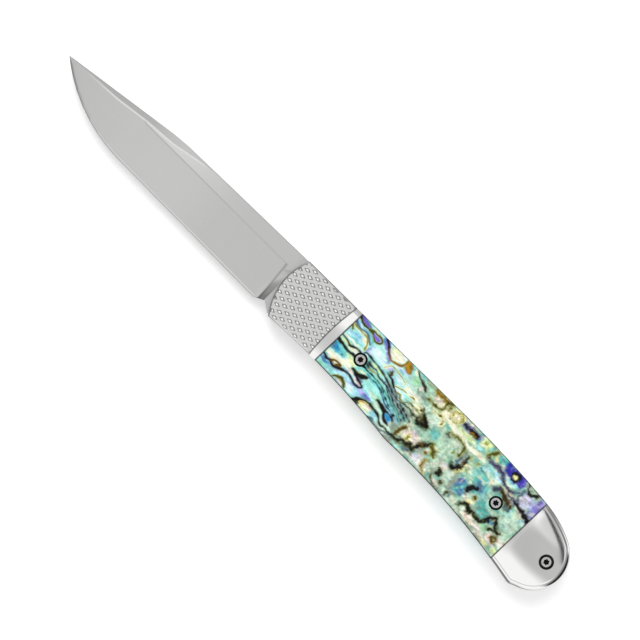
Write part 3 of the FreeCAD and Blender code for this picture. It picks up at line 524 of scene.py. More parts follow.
# Soft patches of the shell: x, y, half length, half height, tilt, shade and strength.
PATCHES = [
    (13, 11.2, 5, 0.6, 0, "aqua", 0.8),
    (10.9, 10.85, 2.2, 0.75, -17, "slate", 0.9),
    (10.9, 10.85, 1.6, 0.42, -17, "violet", 1),
    (14.5, 11.2, 2, 0.4, -4, "mint", 0.9),
    (10.6, 9.55, 2.3, 0.42, -10, "sky", 1),
    (13.2, 9.1, 1.8, 0.35, -12, "teal", 0.8),
    (16, 9.7, 1.9, 1, 0, "moss", 1),
    (16, 9.65, 1.15, 0.5, -5, "violet", 1),
    (15.9, 9.7, 0.6, 0.25, 0, "lilac", 0.8),
    (10.2, 8.75, 1.2, 0.25, -20, "ocean", 0.9),
    (9.4, 7.6, 0.9, 0.7, -30, "lime", 0.8),
    (10.8, 7.2, 1.2, 0.6, 0, "aqua", 0.9),
    (12.3, 6.6, 1.6, 0.9, 0, "blue", 0.55),
    (12.3, 5.9, 2.3, 0.5, 0, "sky", 0.9),
    (14.2, 6.9, 0.8, 0.9, 50, "cream", 0.95),
    (13, 7.6, 1.2, 0.35, -5, "mist", 0.9),
    (9.6, 6.2, 0.8, 0.6, 0, "lilac", 0.5),
    (11.8, 5.25, 3.2, 0.22, 0, "teal", 0.9),
    (11.5, 4.65, 3.2, 0.3, 0, "cream", 1),
    (16.9, 6.4, 0.6, 1.3, -28, "violet", 0.75),
    (17.4, 5.6, 0.5, 0.6, 0, "lilac", 0.9),
    (11.4, 3.2, 3.2, 0.5, -3, "lime", 0.9),
    (13.5, 3.1, 1.5, 0.4, 5, "cream", 0.9),
    (9.8, 0.7, 1.6, 1.1, -15, "azure", 1),
    (9.2, 0.2, 0.8, 0.9, 0, "ocean", 0.6),
    (12.3, 1.3, 2.4, 0.55, -3, "teal", 0.9),
    (12.2, 0.2, 1.6, 0.8, 0, "azure", 0.5),
    (14.8, 1.2, 1.8, 0.6, 0, "lime", 0.9),
    (15.6, 0.2, 1.6, 0.6, 0, "straw", 0.9),
    (10.2, -1.2, 2, 0.5, -5, "mist", 1),
    (10.6, -2, 2.2, 0.5, -5, "cream", 1),
    (14, -1.2, 2.4, 0.7, 5, "cream", 1),
    (16.6, -1.5, 1.8, 0.5, -8, "pink", 0.95),
    (13, -2.75, 1.2, 0.4, 5, "gold", 1),
    (12.6, -2.7, 0.6, 0.2, 0, "cream", 0.9),
    (10.3, -4, 1.9, 0.5, -5, "ocean", 1),
    (13.5, -4.2, 2.2, 0.4, 5, "sky", 0.8),
    (16.8, -3.6, 2.4, 0.5, 8, "sky", 0.9),
    (11.2, -5.1, 2.8, 0.7, 0, "teal", 0.8),
    (9.6, -5.5, 1.2, 0.5, 0, "fern", 0.9),
    (17, -5.1, 1.9, 0.9, 0, "moss", 1),
    (17, -5.6, 1.3, 0.55, 0, "ash", 1),
    (19.2, 7.2, 2.4, 2.2, -20, "ice", 1),
    (17.9, 9, 1.2, 1.2, -35, "aqua", 0.9),
    (21, 6.2, 2.6, 1.2, -10, "ice", 0.9),
    (19.9, 8.4, 1, 0.8, -35, "aqua", 0.7),
    (18.4, 10.9, 1.2, 0.9, -40, "ocean", 1),
    (19.3, 10, 0.9, 0.5, -50, "violet", 0.9),
    (20.9, 8.7, 1.4, 0.5, -42, "lilac", 1),
    (22.1, 7.6, 0.9, 0.4, -30, "violet", 0.7),
    (23.2, 10.3, 2.6, 1.7, 0, "cream", 1),
    (22.2, 11.2, 1.6, 0.5, 0, "lime", 0.7),
    (27.4, 10.3, 1.2, 1.5, 15, "bronze", 1),
    (26.8, 11, 0.6, 0.8, 0, "gold", 1),
    (28.4, 9.4, 0.6, 0.5, 0, "umber", 0.8),
    (27.2, 8.3, 2.2, 0.6, 8, "lilac", 0.55),
    (25.2, 8.2, 1.6, 0.35, 10, "ice", 0.9),
    (24.4, 6.3, 1.3, 1, 20, "lilac", 0.8),
    (23.3, 6, 0.5, 0.8, -15, "pink", 0.7),
    (27.6, 6, 1.6, 1, -20, "ice", 0.9),
    (27, 5.3, 1, 0.5, -20, "sky", 0.8),
    (25.25, 5.85, 0.65, 0.75, -10, "stone", 1),
    (25.25, 5.8, 0.42, 0.5, -10, "olive", 0.9),
    (21.5, 5.3, 3, 0.35, -3, "aqua", 0.9),
    (22.5, 4, 3.4, 0.4, -6, "lime", 0.9),
    (21, 2.6, 2.2, 0.5, -2, "khaki", 0.9),
    (19.3, 3.2, 0.8, 1.3, 0, "ink", 0.95),
    (23.6, 2.3, 1.8, 0.3, -8, "fern", 0.8),
    (27, 3.2, 2.4, 0.8, -22, "stone", 0.8),
    (29.5, 1.6, 3.2, 1.1, -26, "stone", 0.9),
    (32.6, 0.2, 3, 1, -27, "stone", 0.8),
    (27.6, 1, 3, 0.45, -20, "teal", 0.9),
    (34.4, -1, 2.4, 0.9, -28, "stone", 0.9),
    (36.4, 0.4, 1.6, 0.8, -25, "sage", 0.9),
    (19.6, 0.6, 1, 0.35, 25, "straw", 1),
    (20.6, -0.1, 1.4, 0.6, 28, "umber", 1),
    (18.6, -0.7, 0.9, 0.4, -10, "gold", 0.9),
    (20.4, -1.2, 1.4, 0.3, 0, "plum", 0.8),
    (24.6, -0.6, 3, 1.2, -8, "aqua", 1),
    (23.2, 0.5, 1.5, 0.3, -5, "teal", 0.9),
    (25.6, -1.6, 1.8, 0.5, -15, "mint", 1),
    (24, -1.4, 1.2, 0.5, 0, "teal", 0.5),
    (27.2, -1.1, 1, 0.6, -30, "fern", 0.7),
    (20.4, -2.3, 1.6, 0.4, -14, "pink", 1),
    (19.8, -3.7, 1.8, 0.35, 8, "lilac", 0.9),
    (23.6, -3.4, 2, 0.7, -4, "lilac", 1),
    (25.4, -3.4, 1.4, 0.5, -5, "violet", 0.9),
    (20.2, -5, 2.2, 0.9, 0, "ice", 1),
    (22.4, -4.6, 1.2, 0.7, -20, "sky", 0.9),
    (21.4, -6, 1.2, 0.3, 0, "aqua", 0.8),
    (24, -5.6, 1, 1, 40, "umber", 1),
    (26.8, -5.2, 1.8, 0.7, 6, "cream", 1),
    (27.4, -4.8, 1, 0.35, -5, "pink", 0.9),
    (25.4, -5.8, 0.6, 0.5, 30, "straw", 1),
    (27.2, -6.1, 1.6, 0.4, -5, "lime", 0.9),
    (29.4, -5.4, 1.1, 0.7, -20, "sky", 0.9),
    (28.2, -3.2, 2.4, 0.5, -18, "mint", 0.95),
    (31, 8.6, 2, 1.8, 0, "sage", 0.7),
    (31.6, 8.8, 1, 0.8, 0, "fern", 0.9),
    (30.2, 10.6, 1.2, 0.8, -20, "cream", 0.8),
    (33.2, 9.8, 1.2, 0.5, -20, "umber", 0.7),
    (33.8, 8.3, 0.7, 0.6, 0, "pink", 0.9),
    (35.6, 10.4, 1.6, 0.8, 0, "sage", 0.7),
    (34.6, 11.2, 1.6, 0.4, 0, "khaki", 0.6),
    (36.2, 7.6, 2.4, 0.8, 0, "stone", 0.7),
    (39.4, 10, 2.2, 1.2, 0, "pink", 0.9),
    (38.9, 10.2, 1.2, 0.8, 0, "cream", 0.9),
    (38.2, 11.2, 1.6, 0.55, 0, "bronze", 1),
    (41.6, 11.3, 1.4, 0.5, 0, "bronze", 1),
    (40.4, 8.8, 1.2, 0.6, 0, "cream", 0.9),
    (32.4, 5.8, 3.2, 0.5, -2, "cream", 0.95),
    (34.6, 6.3, 1.6, 0.4, -5, "pink", 0.7),
    (31.8, 7, 2.2, 0.5, 0, "mist", 0.9),
    (32.2, 4.2, 1.6, 0.5, 0, "aqua", 0.9),
    (30.6, 3.5, 1, 0.4, 10, "straw", 0.9),
    (36.2, 4, 2.4, 0.3, 0, "cream", 1),
    (36, 2.9, 2.2, 0.4, 0, "cream", 1),
    (31.6, 2.3, 0.5, 0.4, 0, "gold", 0.9),
    (38, 5.8, 1.6, 0.6, 0, "mist", 0.9),
    (40.2, 3.2, 1.6, 0.7, -35, "umber", 1),
    (40.6, 2.2, 1.2, 0.6, -15, "ink", 0.95),
    (39.4, 3.6, 0.5, 0.3, -40, "gold", 0.7),
    (32.7, -3.4, 1.4, 0.8, -25, "azure", 1),
    (32.9, -3.5, 0.7, 0.35, -25, "ice", 0.9),
    (29.3, -2.2, 1.5, 0.45, -12, "ink", 0.95),
    (35.4, -3.8, 1.3, 1.4, 0, "stone", 0.9),
    (34.6, -5.2, 1.8, 0.4, -10, "mist", 0.9),
    (37.3, -3.4, 0.55, 1.9, -4, "bronze", 1),
    (37.3, -3.6, 0.3, 1.3, -4, "umber", 0.7),
    (39.8, -2.6, 1.6, 1.7, 0, "pink", 1),
    (41.2, -1.7, 0.9, 0.9, 0, "lilac", 0.7),
    (40.2, -3, 0.4, 0.9, 0, "khaki", 1),
    (38.6, -1.2, 0.6, 0.6, 0, "cream", 0.8),
    (41.6, -4.9, 1.8, 0.6, 12, "umber", 0.95),
    (42.2, -5.9, 1.4, 0.6, 0, "slate", 0.9),
    (39.6, -6.9, 3, 0.35, -6, "aqua", 1),
    (38.6, -6, 1.6, 0.35, -5, "olive", 0.6),
    (33.4, -6.6, 2.2, 0.4, -3, "mist", 0.9),
    (43.2, 8.6, 1.4, 1.2, 0, "cream", 1),
    (45.8, 9.8, 1.9, 1.5, 0, "gold", 1),
    (45.7, 9.8, 1.4, 1.05, 0, "cream", 1),
    (45.8, 9.6, 0.7, 0.5, 0, "pink", 0.6),
    (47.4, 10.2, 0.45, 0.9, 0, "umber", 0.8),
    (46, 11.4, 1.6, 0.35, 0, "dusk", 0.7),
    (49.6, 10.2, 1.7, 0.7, 0, "slate", 0.8),
    (49.8, 9.3, 1.4, 0.4, -5, "ocean", 0.8),
    (49.6, 11.3, 1.8, 0.35, 0, "pink", 0.9),
    (52.3, 10, 1.5, 0.85, 0, "umber", 1),
    (52.3, 9.4, 1, 0.3, 0, "bronze", 0.9),
    (54.2, 10, 0.7, 1.7, 0, "ocean", 1),
    (56.2, 10.3, 1.6, 1.5, 0, "lime", 1),
    (56.1, 10.4, 0.65, 0.6, 0, "moss", 1),
    (55.9, 8.4, 1.2, 0.8, 0, "azure", 0.75),
    (50.6, 8.4, 3.2, 0.6, -3, "lime", 0.8),
    (47.6, 7.4, 5, 0.6, -5, "cream", 1),
    (55.6, 6.7, 3.8, 0.6, 3, "cream", 1),
    (42, 5, 1.6, 1.5, 0, "mist", 0.9),
    (45, 2.5, 1.5, 1.4, -30, "sea", 0.7),
    (43.8, 3, 0.6, 0.6, 0, "dusk", 0.35),
    (49.5, 3, 3.2, 2.6, 0, "mint", 0.6),
    (50, 4.6, 2.6, 1, 0, "sage", 0.5),
    (42, -2.4, 1.8, 1.8, 0, "pink", 0.7),
    (47.8, -1, 1.2, 1.2, -35, "khaki", 0.95),
    (46.4, -2.9, 0.45, 0.4, 0, "gold", 1),
    (46.5, -5.9, 3.2, 1.2, 0, "ash", 0.95),
    (47.9, -5, 0.4, 1.1, 0, "bronze", 0.9),
    (54.5, 2.4, 0.75, 2, 3, "slate", 1),
    (54.4, 1.6, 0.4, 0.8, 0, "blue", 0.5),
    (54.2, 5.1, 1.3, 0.6, 0, "stone", 0.9),
    (54.5, -0.4, 1.2, 0.55, 5, "ink", 1),
    (56.2, -0.4, 0.4, 0.6, 0, "bronze", 0.9),
    (52.6, -1.8, 1.5, 0.8, 0, "pink", 0.6),
    (51.3, -4.6, 0.5, 1.1, 0, "slate", 0.8),
    (52.6, -3.8, 0.6, 0.9, 0, "olive", 1),
    (55.4, -3, 1.2, 1.2, 0, "mist", 0.9),
    (54.6, -5.5, 0.5, 0.5, 0, "olive", 0.95),
    (53.6, -6.6, 1.6, 0.5, -8, "pink", 0.8),
    (57, 2.8, 1.4, 1.4, 0, "cream", 0.6),
    (58.9, -2.4, 1.5, 1.9, 0, "ocean", 0.95),
    (58.2, -1.5, 0.7, 0.5, 0, "navy", 0.6),
    (60.2, -4, 1.2, 0.9, 0, "blue", 0.7),
    (58.7, -3.2, 0.5, 0.5, 0, "fern", 0.5),
    (56.8, -3.4, 0.35, 1.7, 0, "stone", 0.9),
    (62.8, 2.6, 3, 1.6, 0, "sea", 0.85),
    (65.5, -1.4, 3, 2, 0, "sea", 0.85),
    (68.6, -2.8, 1.8, 1.5, 0, "sea", 0.9),
    (63.2, 0.8, 1.3, 0.8, -25, "ocean", 0.8),
    (61.5, -1, 0.55, 1.2, -15, "ink", 0.85),
    (60.6, 4.6, 1, 0.35, 0, "slate", 0.8),
    (59.4, 3, 1, 0.8, 0, "aqua", 0.7),
    (62.6, 6.2, 3.2, 1.1, -3, "aqua", 1),
    (61.4, 6, 1.6, 0.6, 0, "azure", 0.5),
    (64.6, 6.4, 1.8, 0.6, -25, "sky", 0.9),
    (59.4, 9.2, 0.9, 1.4, 0, "fern", 0.9),
    (58.9, 8.5, 0.5, 0.4, 0, "lime", 1),
    (61, 9.4, 1, 0.8, 0, "lime", 0.8),
    (62.8, 10.4, 1.8, 1, 0, "sea", 1),
    (67.8, 9.8, 3.2, 1.7, 0, "navy", 1),
    (70.2, 9, 0.9, 1.2, 0, "violet", 0.8),
    (68.2, 7.7, 2.4, 0.6, 0, "sky", 1),
    (68.3, 7, 1.8, 0.4, 0, "ice", 1),
    (66.6, 3.9, 1.2, 0.7, 15, "slate", 0.95),
    (67.4, 4.5, 0.8, 0.35, 10, "umber", 0.8),
    (70.4, 3.5, 1.6, 0.5, -12, "umber", 0.7),
    (71.8, 3.4, 0.8, 0.4, 0, "pink", 0.8),
    (63.5, -3.9, 1.2, 0.5, 0, "straw", 0.9),
    (64, -6.6, 1.6, 0.9, -20, "mist", 0.9),
    (66.8, -7.3, 2.2, 0.7, -8, "pink", 0.9),
    (65, -5.5, 1.2, 0.4, -10, "umber", 0.9),
    (60.5, -6.6, 1.5, 0.7, 0, "sage", 0.9),
    (58.4, -6.2, 0.5, 1, 15, "stone", 0.9),
    (69.8, 5, 2.2, 0.45, -10, "straw", 0.9),
    (72, 7.8, 0.6, 2, -8, "aqua", 0.8),
    (74.4, 7, 1.9, 1.9, 0, "ash", 0.9),
    (74.4, 7, 1.9, 1.9, 0, "lilac", 0.45),
    (78, 7.8, 1.2, 2.6, 0, "lilac", 0.9),
    (78.6, 7.2, 0.5, 0.9, 0, "violet", 1),
    (77.3, 9.4, 0.7, 1.2, 0, "violet", 0.6),
    (77.6, 5, 1.2, 0.6, -10, "violet", 0.7),
    (74.3, 10.2, 1.4, 0.9, 0, "sage", 1),
    (75.4, 3.6, 2.4, 0.35, -10, "straw", 1),
    (75.5, 0.5, 3.2, 2.4, 0, "mint", 0.7),
    (72.6, 2, 1.2, 0.6, 0, "sky", 0.8),
    (77.8, 2.2, 1.2, 0.7, 0, "sky", 0.7),
    (71.6, 1.8, 0.6, 0.5, 0, "slate", 0.8),
    (72.2, -3.6, 0.6, 0.7, 0, "blue", 0.8),
    (71.2, -6, 1.2, 0.9, 30, "fern", 0.7),
    (74.4, -6.6, 1.6, 0.9, 0, "pink", 0.9),
    (77.2, -5.6, 1.4, 1.2, 0, "mist", 0.9),
    (73.2, -8.5, 2, 0.5, -8, "straw", 0.95),
    (77.4, -8.6, 1.1, 0.7, 0, "lime", 1),
    (70.2, -7.4, 1.6, 0.6, -10, "ash", 0.8),
    (9, 0.4, 0.7, 1.2, 0, "slate", 0.5),
    (9, -3.6, 0.6, 0.8, 0, "navy", 0.3),
    (9, 2.6, 0.6, 0.5, 0, "ink", 0.8),
    (24.4, -3.8, 0.9, 0.8, -30, "ocean", 0.7),
    (27, -4.4, 2.2, 0.25, -4, "ink", 0.6),
    (23.6, -5.6, 0.9, 0.9, 40, "ink", 0.9),
    (24.8, -5.2, 0.5, 0.8, -30, "bronze", 0.9),
    (36.2, 1, 1.8, 1.6, -20, "stone", 0.8),
    (38.2, 0.2, 1.6, 0.9, 0, "sage", 0.9),
    (35.4, -2.6, 1.3, 1.4, 0, "stone", 0.8),
    (39.6, 2.6, 1.6, 1, -30, "umber", 0.9),
    (39, 1.5, 0.9, 0.4, 10, "ink", 0.9),
    (40.8, 2.3, 1, 0.6, -10, "ink", 0.9),
    (39.2, 3.6, 0.6, 0.5, -40, "moss", 0.8),
    (33.4, 9.7, 1.2, 0.5, -20, "stone", 1),
    (34.6, 9.1, 0.6, 0.5, -40, "umber", 0.8),
    (33.2, 9.9, 0.7, 0.3, 0, "umber", 0.7),
    (31.4, 9.4, 1.4, 0.9, 0, "fern", 0.5),
    (36.4, 8.6, 1.4, 0.7, 0, "sage", 0.9),
    (34.2, 7.3, 0.6, 0.5, -30, "stone", 0.9),
    (37, 6.6, 1.6, 0.6, 0, "sage", 0.7),
    (38.2, 11.2, 1.4, 0.5, 0, "gold", 1),
    (38.6, 10.7, 0.8, 0.3, 0, "moss", 0.8),
    (41.4, 9.6, 0.35, 1.4, 5, "olive", 0.9),
    (39.6, 7.9, 1.6, 0.22, 0, "olive", 0.8),
    (41.6, 11.2, 1.8, 0.55, 0, "gold", 1),
    (40.6, 10.6, 0.6, 0.6, 0, "bronze", 0.7),
    (42.6, 10, 0.6, 1, 0, "khaki", 0.6),
    (41.2, 9.3, 1.2, 0.8, 0, "cream", 0.9),
    (44.3, 11.3, 1, 0.4, 0, "stone", 0.8),
    (46, 11.2, 1.4, 0.35, 0, "khaki", 0.8),
    (47.5, 10.6, 0.5, 0.6, 20, "umber", 0.8),
    (44.4, 10.2, 0.35, 0.9, 15, "gold", 0.8),
    (43, 6.7, 1.4, 0.28, 5, "khaki", 0.9),
    (44.2, 5.9, 0.3, 0.6, 0, "khaki", 0.8),
    (43.8, 2.8, 0.7, 1.2, 10, "sea", 0.6),
    (45.2, 2.2, 0.9, 1.2, -15, "teal", 0.8),
    (44.9, 0.6, 1, 0.6, 0, "sage", 0.7),
    (42.6, 4.6, 1.2, 1, 0, "mist", 0.8),
    (41.6, 3.8, 0.6, 0.8, 0, "pink", 0.3),
    (47.6, 5.6, 0.7, 0.5, -20, "khaki", 0.85),
    (48.1, 4.7, 0.5, 0.4, 0, "khaki", 0.8),
    (49.2, 5.7, 0.8, 0.3, 0, "khaki", 0.7),
    (47.3, -0.4, 0.4, 0.7, 20, "khaki", 1),
    (48.3, -1.6, 0.8, 0.5, -30, "khaki", 1),
    (47.9, 0.4, 0.4, 0.3, 0, "moss", 0.6),
    (43.5, -3.2, 0.45, 1.4, -15, "umber", 1),
    (44.6, -1.6, 0.4, 1.1, -35, "umber", 1),
    (45.7, -0.3, 0.4, 0.9, -45, "umber", 0.9),
    (46.3, 0.4, 0.35, 0.4, 0, "ink", 0.6),
    (41.2, -4.8, 2.2, 0.55, 12, "umber", 1),
    (42.6, -4.6, 0.9, 0.6, 0, "ink", 0.8),
    (42.4, -5.9, 1.6, 0.7, 0, "slate", 1),
    (43.4, -6.4, 0.9, 0.4, 0, "stone", 0.9),
    (40.3, -3.2, 0.45, 0.9, 5, "khaki", 1),
    (41.6, -3.9, 0.8, 0.35, 10, "olive", 0.8),
    (38.9, -4.6, 0.8, 0.5, 30, "umber", 0.7),
    (46.4, -6.2, 2.4, 0.8, 0, "ash", 0.9),
    (45.2, -5.2, 1, 0.6, -20, "lilac", 0.4),
    (46.3, -4.3, 0.9, 0.5, 0, "ash", 0.8),
    (49.6, -5, 1.2, 1.4, 0, "sage", 0.5),
    (49.4, -6.8, 1, 0.4, -20, "cream", 0.6),
    (49.4, 10.3, 1.6, 0.6, 0, "ocean", 0.55),
    (49.7, 9.9, 1.8, 0.3, 0, "slate", 0.9),
    (50.4, 10.8, 0.9, 0.3, 0, "dusk", 0.6),
    (48.8, 9.1, 0.8, 0.5, 0, "sky", 0.6),
    (52.3, 9.9, 1.5, 0.75, 0, "umber", 1),
    (52.6, 10.5, 1.2, 0.35, 0, "ink", 0.6),
    (52.3, 9.3, 1.1, 0.3, 0, "bronze", 0.9),
    (54.3, 10.6, 0.6, 1, 0, "ocean", 0.8),
    (54.4, 9, 0.6, 0.8, 0, "teal", 0.8),
    (56.4, 10.4, 1.5, 1.1, 0, "lime", 0.9),
    (57.4, 11, 0.8, 0.5, 0, "straw", 0.7),
    (56.1, 10.4, 0.55, 0.5, 0, "moss", 1),
    (55.9, 8.2, 1.1, 0.7, 0, "aqua", 0.9),
    (52.4, 7.9, 2, 0.5, -3, "lime", 0.5),
    (50.2, 6.1, 2.4, 0.22, -2, "moss", 0.8),
    (53.3, 4.6, 0.35, 1.1, 5, "olive", 1),
    (53.2, 3.2, 0.35, 0.5, 0, "moss", 0.8),
    (54.6, 4.9, 1, 0.5, 0, "stone", 1),
    (54.6, 4.9, 0.8, 0.4, 0, "olive", 0.45),
    (54.5, 2.4, 0.75, 1.7, 0, "slate", 1),
    (54.4, 3.2, 0.4, 0.8, 0, "ocean", 0.4),
    (55.6, 2.3, 0.28, 2.1, -2, "umber", 1),
    (54.6, -0.4, 1.2, 0.5, 5, "ink", 1),
    (56.2, -0.2, 0.4, 0.8, 5, "brown", 0.9),
    (56.3, 1.6, 0.3, 0.9, 0, "khaki", 0.8),
    (56.8, 4.4, 0.5, 0.5, 0, "khaki", 0.8),
    (58.4, 4.9, 0.5, 0.5, 0, "moss", 0.8),
    (57.5, 3.5, 0.9, 0.25, 10, "khaki", 0.9),
    (57.6, 1.6, 0.3, 0.4, 0, "moss", 0.9),
    (52.7, -1.6, 1, 0.6, 0, "lilac", 0.3),
    (55.5, -1.9, 0.5, 0.7, 0, "pink", 0.4),
    (51.5, -3, 0.6, 0.9, 10, "sage", 0.8),
    (51.2, -4.8, 0.5, 1, 0, "stone", 1),
    (52.8, -3.7, 0.5, 0.9, 15, "olive", 1),
    (52.5, -4.6, 0.6, 0.3, 0, "olive", 0.9),
    (54.6, -5.4, 0.5, 0.4, 0, "olive", 1),
    (56.8, -3.4, 0.45, 2, 0, "stone", 1),
    (56.9, -4.6, 0.4, 1, 0, "slate", 0.5),
    (52.2, -6.6, 0.9, 0.4, -45, "olive", 0.9),
    (51.8, -6.1, 0.35, 0.4, 0, "pink", 0.8),
    (53.6, -7.3, 1.2, 0.3, -5, "olive", 0.7),
    (55.4, -7, 1, 0.5, 0, "sage", 0.8),
    (58.8, -2.8, 1.7, 2.2, 0, "ocean", 0.9),
    (57.9, -1.5, 0.7, 0.6, 0, "plum", 0.55),
    (58.8, -3.2, 0.8, 0.6, 0, "sea", 0.6),
    (60.3, -3.6, 0.8, 1.1, 0, "ocean", 0.7),
    (57.6, -4.6, 0.6, 0.8, 0, "slate", 0.6),
    (59.4, -1.2, 0.8, 0.5, 0, "sea", 0.5),
    (61.6, -1.2, 0.8, 1.1, -10, "ink", 0.9),
    (62.5, 0, 0.9, 0.6, 30, "slate", 1),
    (63.4, 0.9, 0.9, 0.5, 15, "ocean", 0.7),
    (61.2, 0.9, 1, 0.6, 0, "sea", 0.8),
    (62.6, 3.2, 2.6, 1, 0, "sea", 0.7),
    (60.8, 4.6, 0.9, 0.3, 0, "slate", 0.8),
    (59.6, 2.6, 1.1, 1, 0, "teal", 0.6),
    (67, -2.2, 3, 1.6, 0, "sea", 0.75),
    (65.2, -0.4, 1.6, 0.9, 0, "teal", 0.8),
    (68.2, -3.9, 1.6, 0.6, 0, "teal", 0.8),
    (69.5, -1.8, 1.2, 0.8, 0, "sea", 0.5),
    (63.8, -3.6, 1.2, 0.8, 0, "straw", 0.9),
    (64.3, -2.1, 0.4, 0.45, 0, "olive", 0.9),
    (62, -3.9, 0.7, 0.8, 0, "sage", 0.8),
    (65.3, -5.4, 1.6, 0.55, -8, "olive", 1),
    (62.9, -5.2, 0.8, 0.5, 25, "olive", 1),
    (68, -5.6, 1.6, 0.45, 0, "olive", 0.9),
    (69.8, -4.9, 0.6, 0.6, 40, "olive", 0.9),
    (63.6, -6.1, 0.8, 0.6, 0, "mist", 0.9),
    (64.8, -6.4, 0.6, 0.4, 0, "olive", 0.5),
    (67, -7.2, 2.2, 0.7, -5, "pink", 0.8),
    (63.2, -7.4, 0.8, 0.5, -30, "stone", 0.8),
    (58.4, -6.2, 0.5, 1, 12, "slate", 0.8),
    (60.2, -6.6, 1, 0.8, 0, "pink", 0.5),
    (61.2, -5.6, 0.8, 0.5, 0, "sage", 0.8),
    (59.3, -5.4, 0.9, 0.3, 10, "stone", 0.8),
    (66.6, 3.7, 1.1, 0.7, 10, "slate", 1),
    (67.5, 4.5, 0.7, 0.4, 20, "olive", 0.9),
    (69.8, 3.7, 1.4, 0.5, -12, "brown", 0.9),
    (71.4, 3.2, 0.8, 0.5, -10, "umber", 0.8),
    (70.6, 4.5, 1.4, 0.3, -10, "cream", 0.9),
    (59.8, 10.5, 0.55, 0.9, -10, "olive", 0.95),
    (59.1, 9, 0.6, 0.5, 30, "lime", 0.9),
    (58.4, 10.2, 0.6, 1, 0, "teal", 0.8),
    (60.3, 8.2, 0.8, 0.3, 0, "olive", 0.8),
    (61.2, 9.4, 0.7, 0.5, 0, "straw", 0.8),
    (62.8, 10.3, 1.7, 1, 0, "sea", 1),
    (62.6, 10.6, 0.5, 0.5, 0, "slate", 0.9),
    (64.4, 10.4, 0.6, 1, 0, "azure", 0.8),
    (63.6, 7.8, 2.2, 0.5, 0, "dusk", 0.9),
    (66.2, 7, 1, 0.5, -40, "dusk", 0.8),
    (61.2, 7.8, 1, 0.35, 5, "violet", 0.6),
    (67.8, 9.8, 3, 1.6, 0, "navy", 0.9),
    (65.6, 9.4, 0.9, 0.9, 0, "violet", 0.5),
    (70.3, 9.6, 0.8, 1.2, 0, "violet", 0.8),
    (68.1, 9.4, 1.5, 1.25, 0, "ink", 0.95),
    (68, 9.4, 0.85, 0.75, 0, "straw", 1),
    (68.1, 9.4, 0.45, 0.4, 0, "moss", 0.6),
    (68.3, 7.6, 2.2, 0.55, 0, "aqua", 1),
    (68.4, 6.6, 1.8, 0.35, 0, "lime", 0.7),
    (68.6, 6, 1.6, 0.3, 0, "moss", 0.45),
    (74.4, 7, 2, 2, 0, "lilac", 0.55),
    (74.4, 6.4, 1.6, 1.2, 0, "ash", 0.5),
    (78, 7.6, 1.2, 2.6, 0, "violet", 0.7),
    (77.4, 9.2, 0.5, 0.9, 10, "dusk", 0.6),
    (76.6, 7.4, 0.5, 1.6, -5, "lilac", 0.8),
    (78.7, 7.2, 0.5, 0.9, 0, "violet", 0.9),
    (78.3, 5, 0.8, 0.6, 0, "violet", 0.6),
    (74.2, 9.9, 1.3, 0.8, 0, "sage", 1),
    (72.2, 9.9, 0.6, 0.9, 20, "stone", 0.9),
    (73, 4.75, 2.4, 0.3, -9, "ink", 0.9),
    (77.8, 3.6, 1.4, 0.5, -12, "ink", 1),
    (75.2, 3.5, 2.4, 0.3, -9, "straw", 1),
    (72.4, 1.9, 0.9, 0.6, 0, "ocean", 0.5),
    (71.6, 1.9, 0.7, 0.6, 0, "slate", 0.9),
    (77.9, 1.6, 1.1, 0.8, 0, "sea", 0.6),
    (75.5, -0.6, 2.6, 1.8, 0, "mist", 0.7),
    (73.5, 0.8, 1.4, 0.7, 0, "aqua", 0.6),
    (78.2, -3.4, 0.8, 1.6, 0, "sage", 0.6),
    (71.6, -2.6, 0.9, 0.35, 40, "ink", 0.8),
    (73.1, -3, 0.8, 0.4, -45, "olive", 1),
    (74.4, -4.3, 0.9, 0.4, -20, "olive", 1),
    (73.4, -5, 0.9, 0.3, 0, "olive", 0.9),
    (72.3, -3.6, 0.55, 0.6, 0, "ocean", 0.8),
    (70.7, -4, 0.5, 0.7, 0, "slate", 0.8),
    (72, -5.8, 0.7, 0.9, 20, "fern", 0.6),
    (75.4, -6.3, 1, 0.8, 0, "olive", 0.9),
    (75.4, -6.3, 0.55, 0.4, 0, "sage", 1),
    (77.4, -5.9, 1, 0.8, 0, "pink", 0.7),
    (74, -7.2, 1.4, 0.6, 0, "pink", 0.9),
    (73, -8.4, 1.8, 0.45, -6, "straw", 0.9),
    (77.3, -8.5, 1, 0.7, 0, "lime", 0.9),
    (58.2, -3.9, 0.5, 0.4, 0, "sea", 0.7),
    (59.6, -2.2, 0.5, 0.5, 20, "teal", 0.6),
    (60.6, -4.4, 0.5, 0.4, 0, "slate", 0.6),
    (58.6, -0.9, 0.6, 0.4, 0, "navy", 0.6),
    (57.4, -2.6, 0.35, 0.7, 10, "slate", 0.7),
    (60.2, -1.4, 0.5, 0.6, -20, "sea", 0.6),
    (59.2, -4.6, 0.6, 0.35, 0, "sea", 0.6),
    (61.6, -3.2, 0.6, 0.5, 0, "slate", 0.5),
    (66.4, 10.6, 0.8, 0.7, 0, "navy", 0.9),
    (69.8, 10.2, 0.6, 0.8, 0, "navy", 0.9),
    (66.2, 9.2, 0.7, 0.6, -30, "navy", 0.8),
    (69.9, 9, 0.5, 0.6, 0, "navy", 0.7),
    (62.2, 6.4, 1.6, 0.6, 0, "aqua", 0.8),
    (64.4, 6.4, 1.2, 0.5, -15, "sky", 0.7),
    (61, 5.6, 1, 0.4, 0, "ice", 0.7),
    (50, 4, 1.4, 1, 0, "mint", 0.7),
    (48.6, 1.8, 1.4, 1.2, 0, "mint", 0.6),
    (51.4, 0.4, 1, 1.2, 0, "sage", 0.7),
    (50.2, -2.2, 0.8, 1, 0, "mint", 0.6),
    (54.6, -3.6, 0.9, 1, 0, "mint", 0.7),
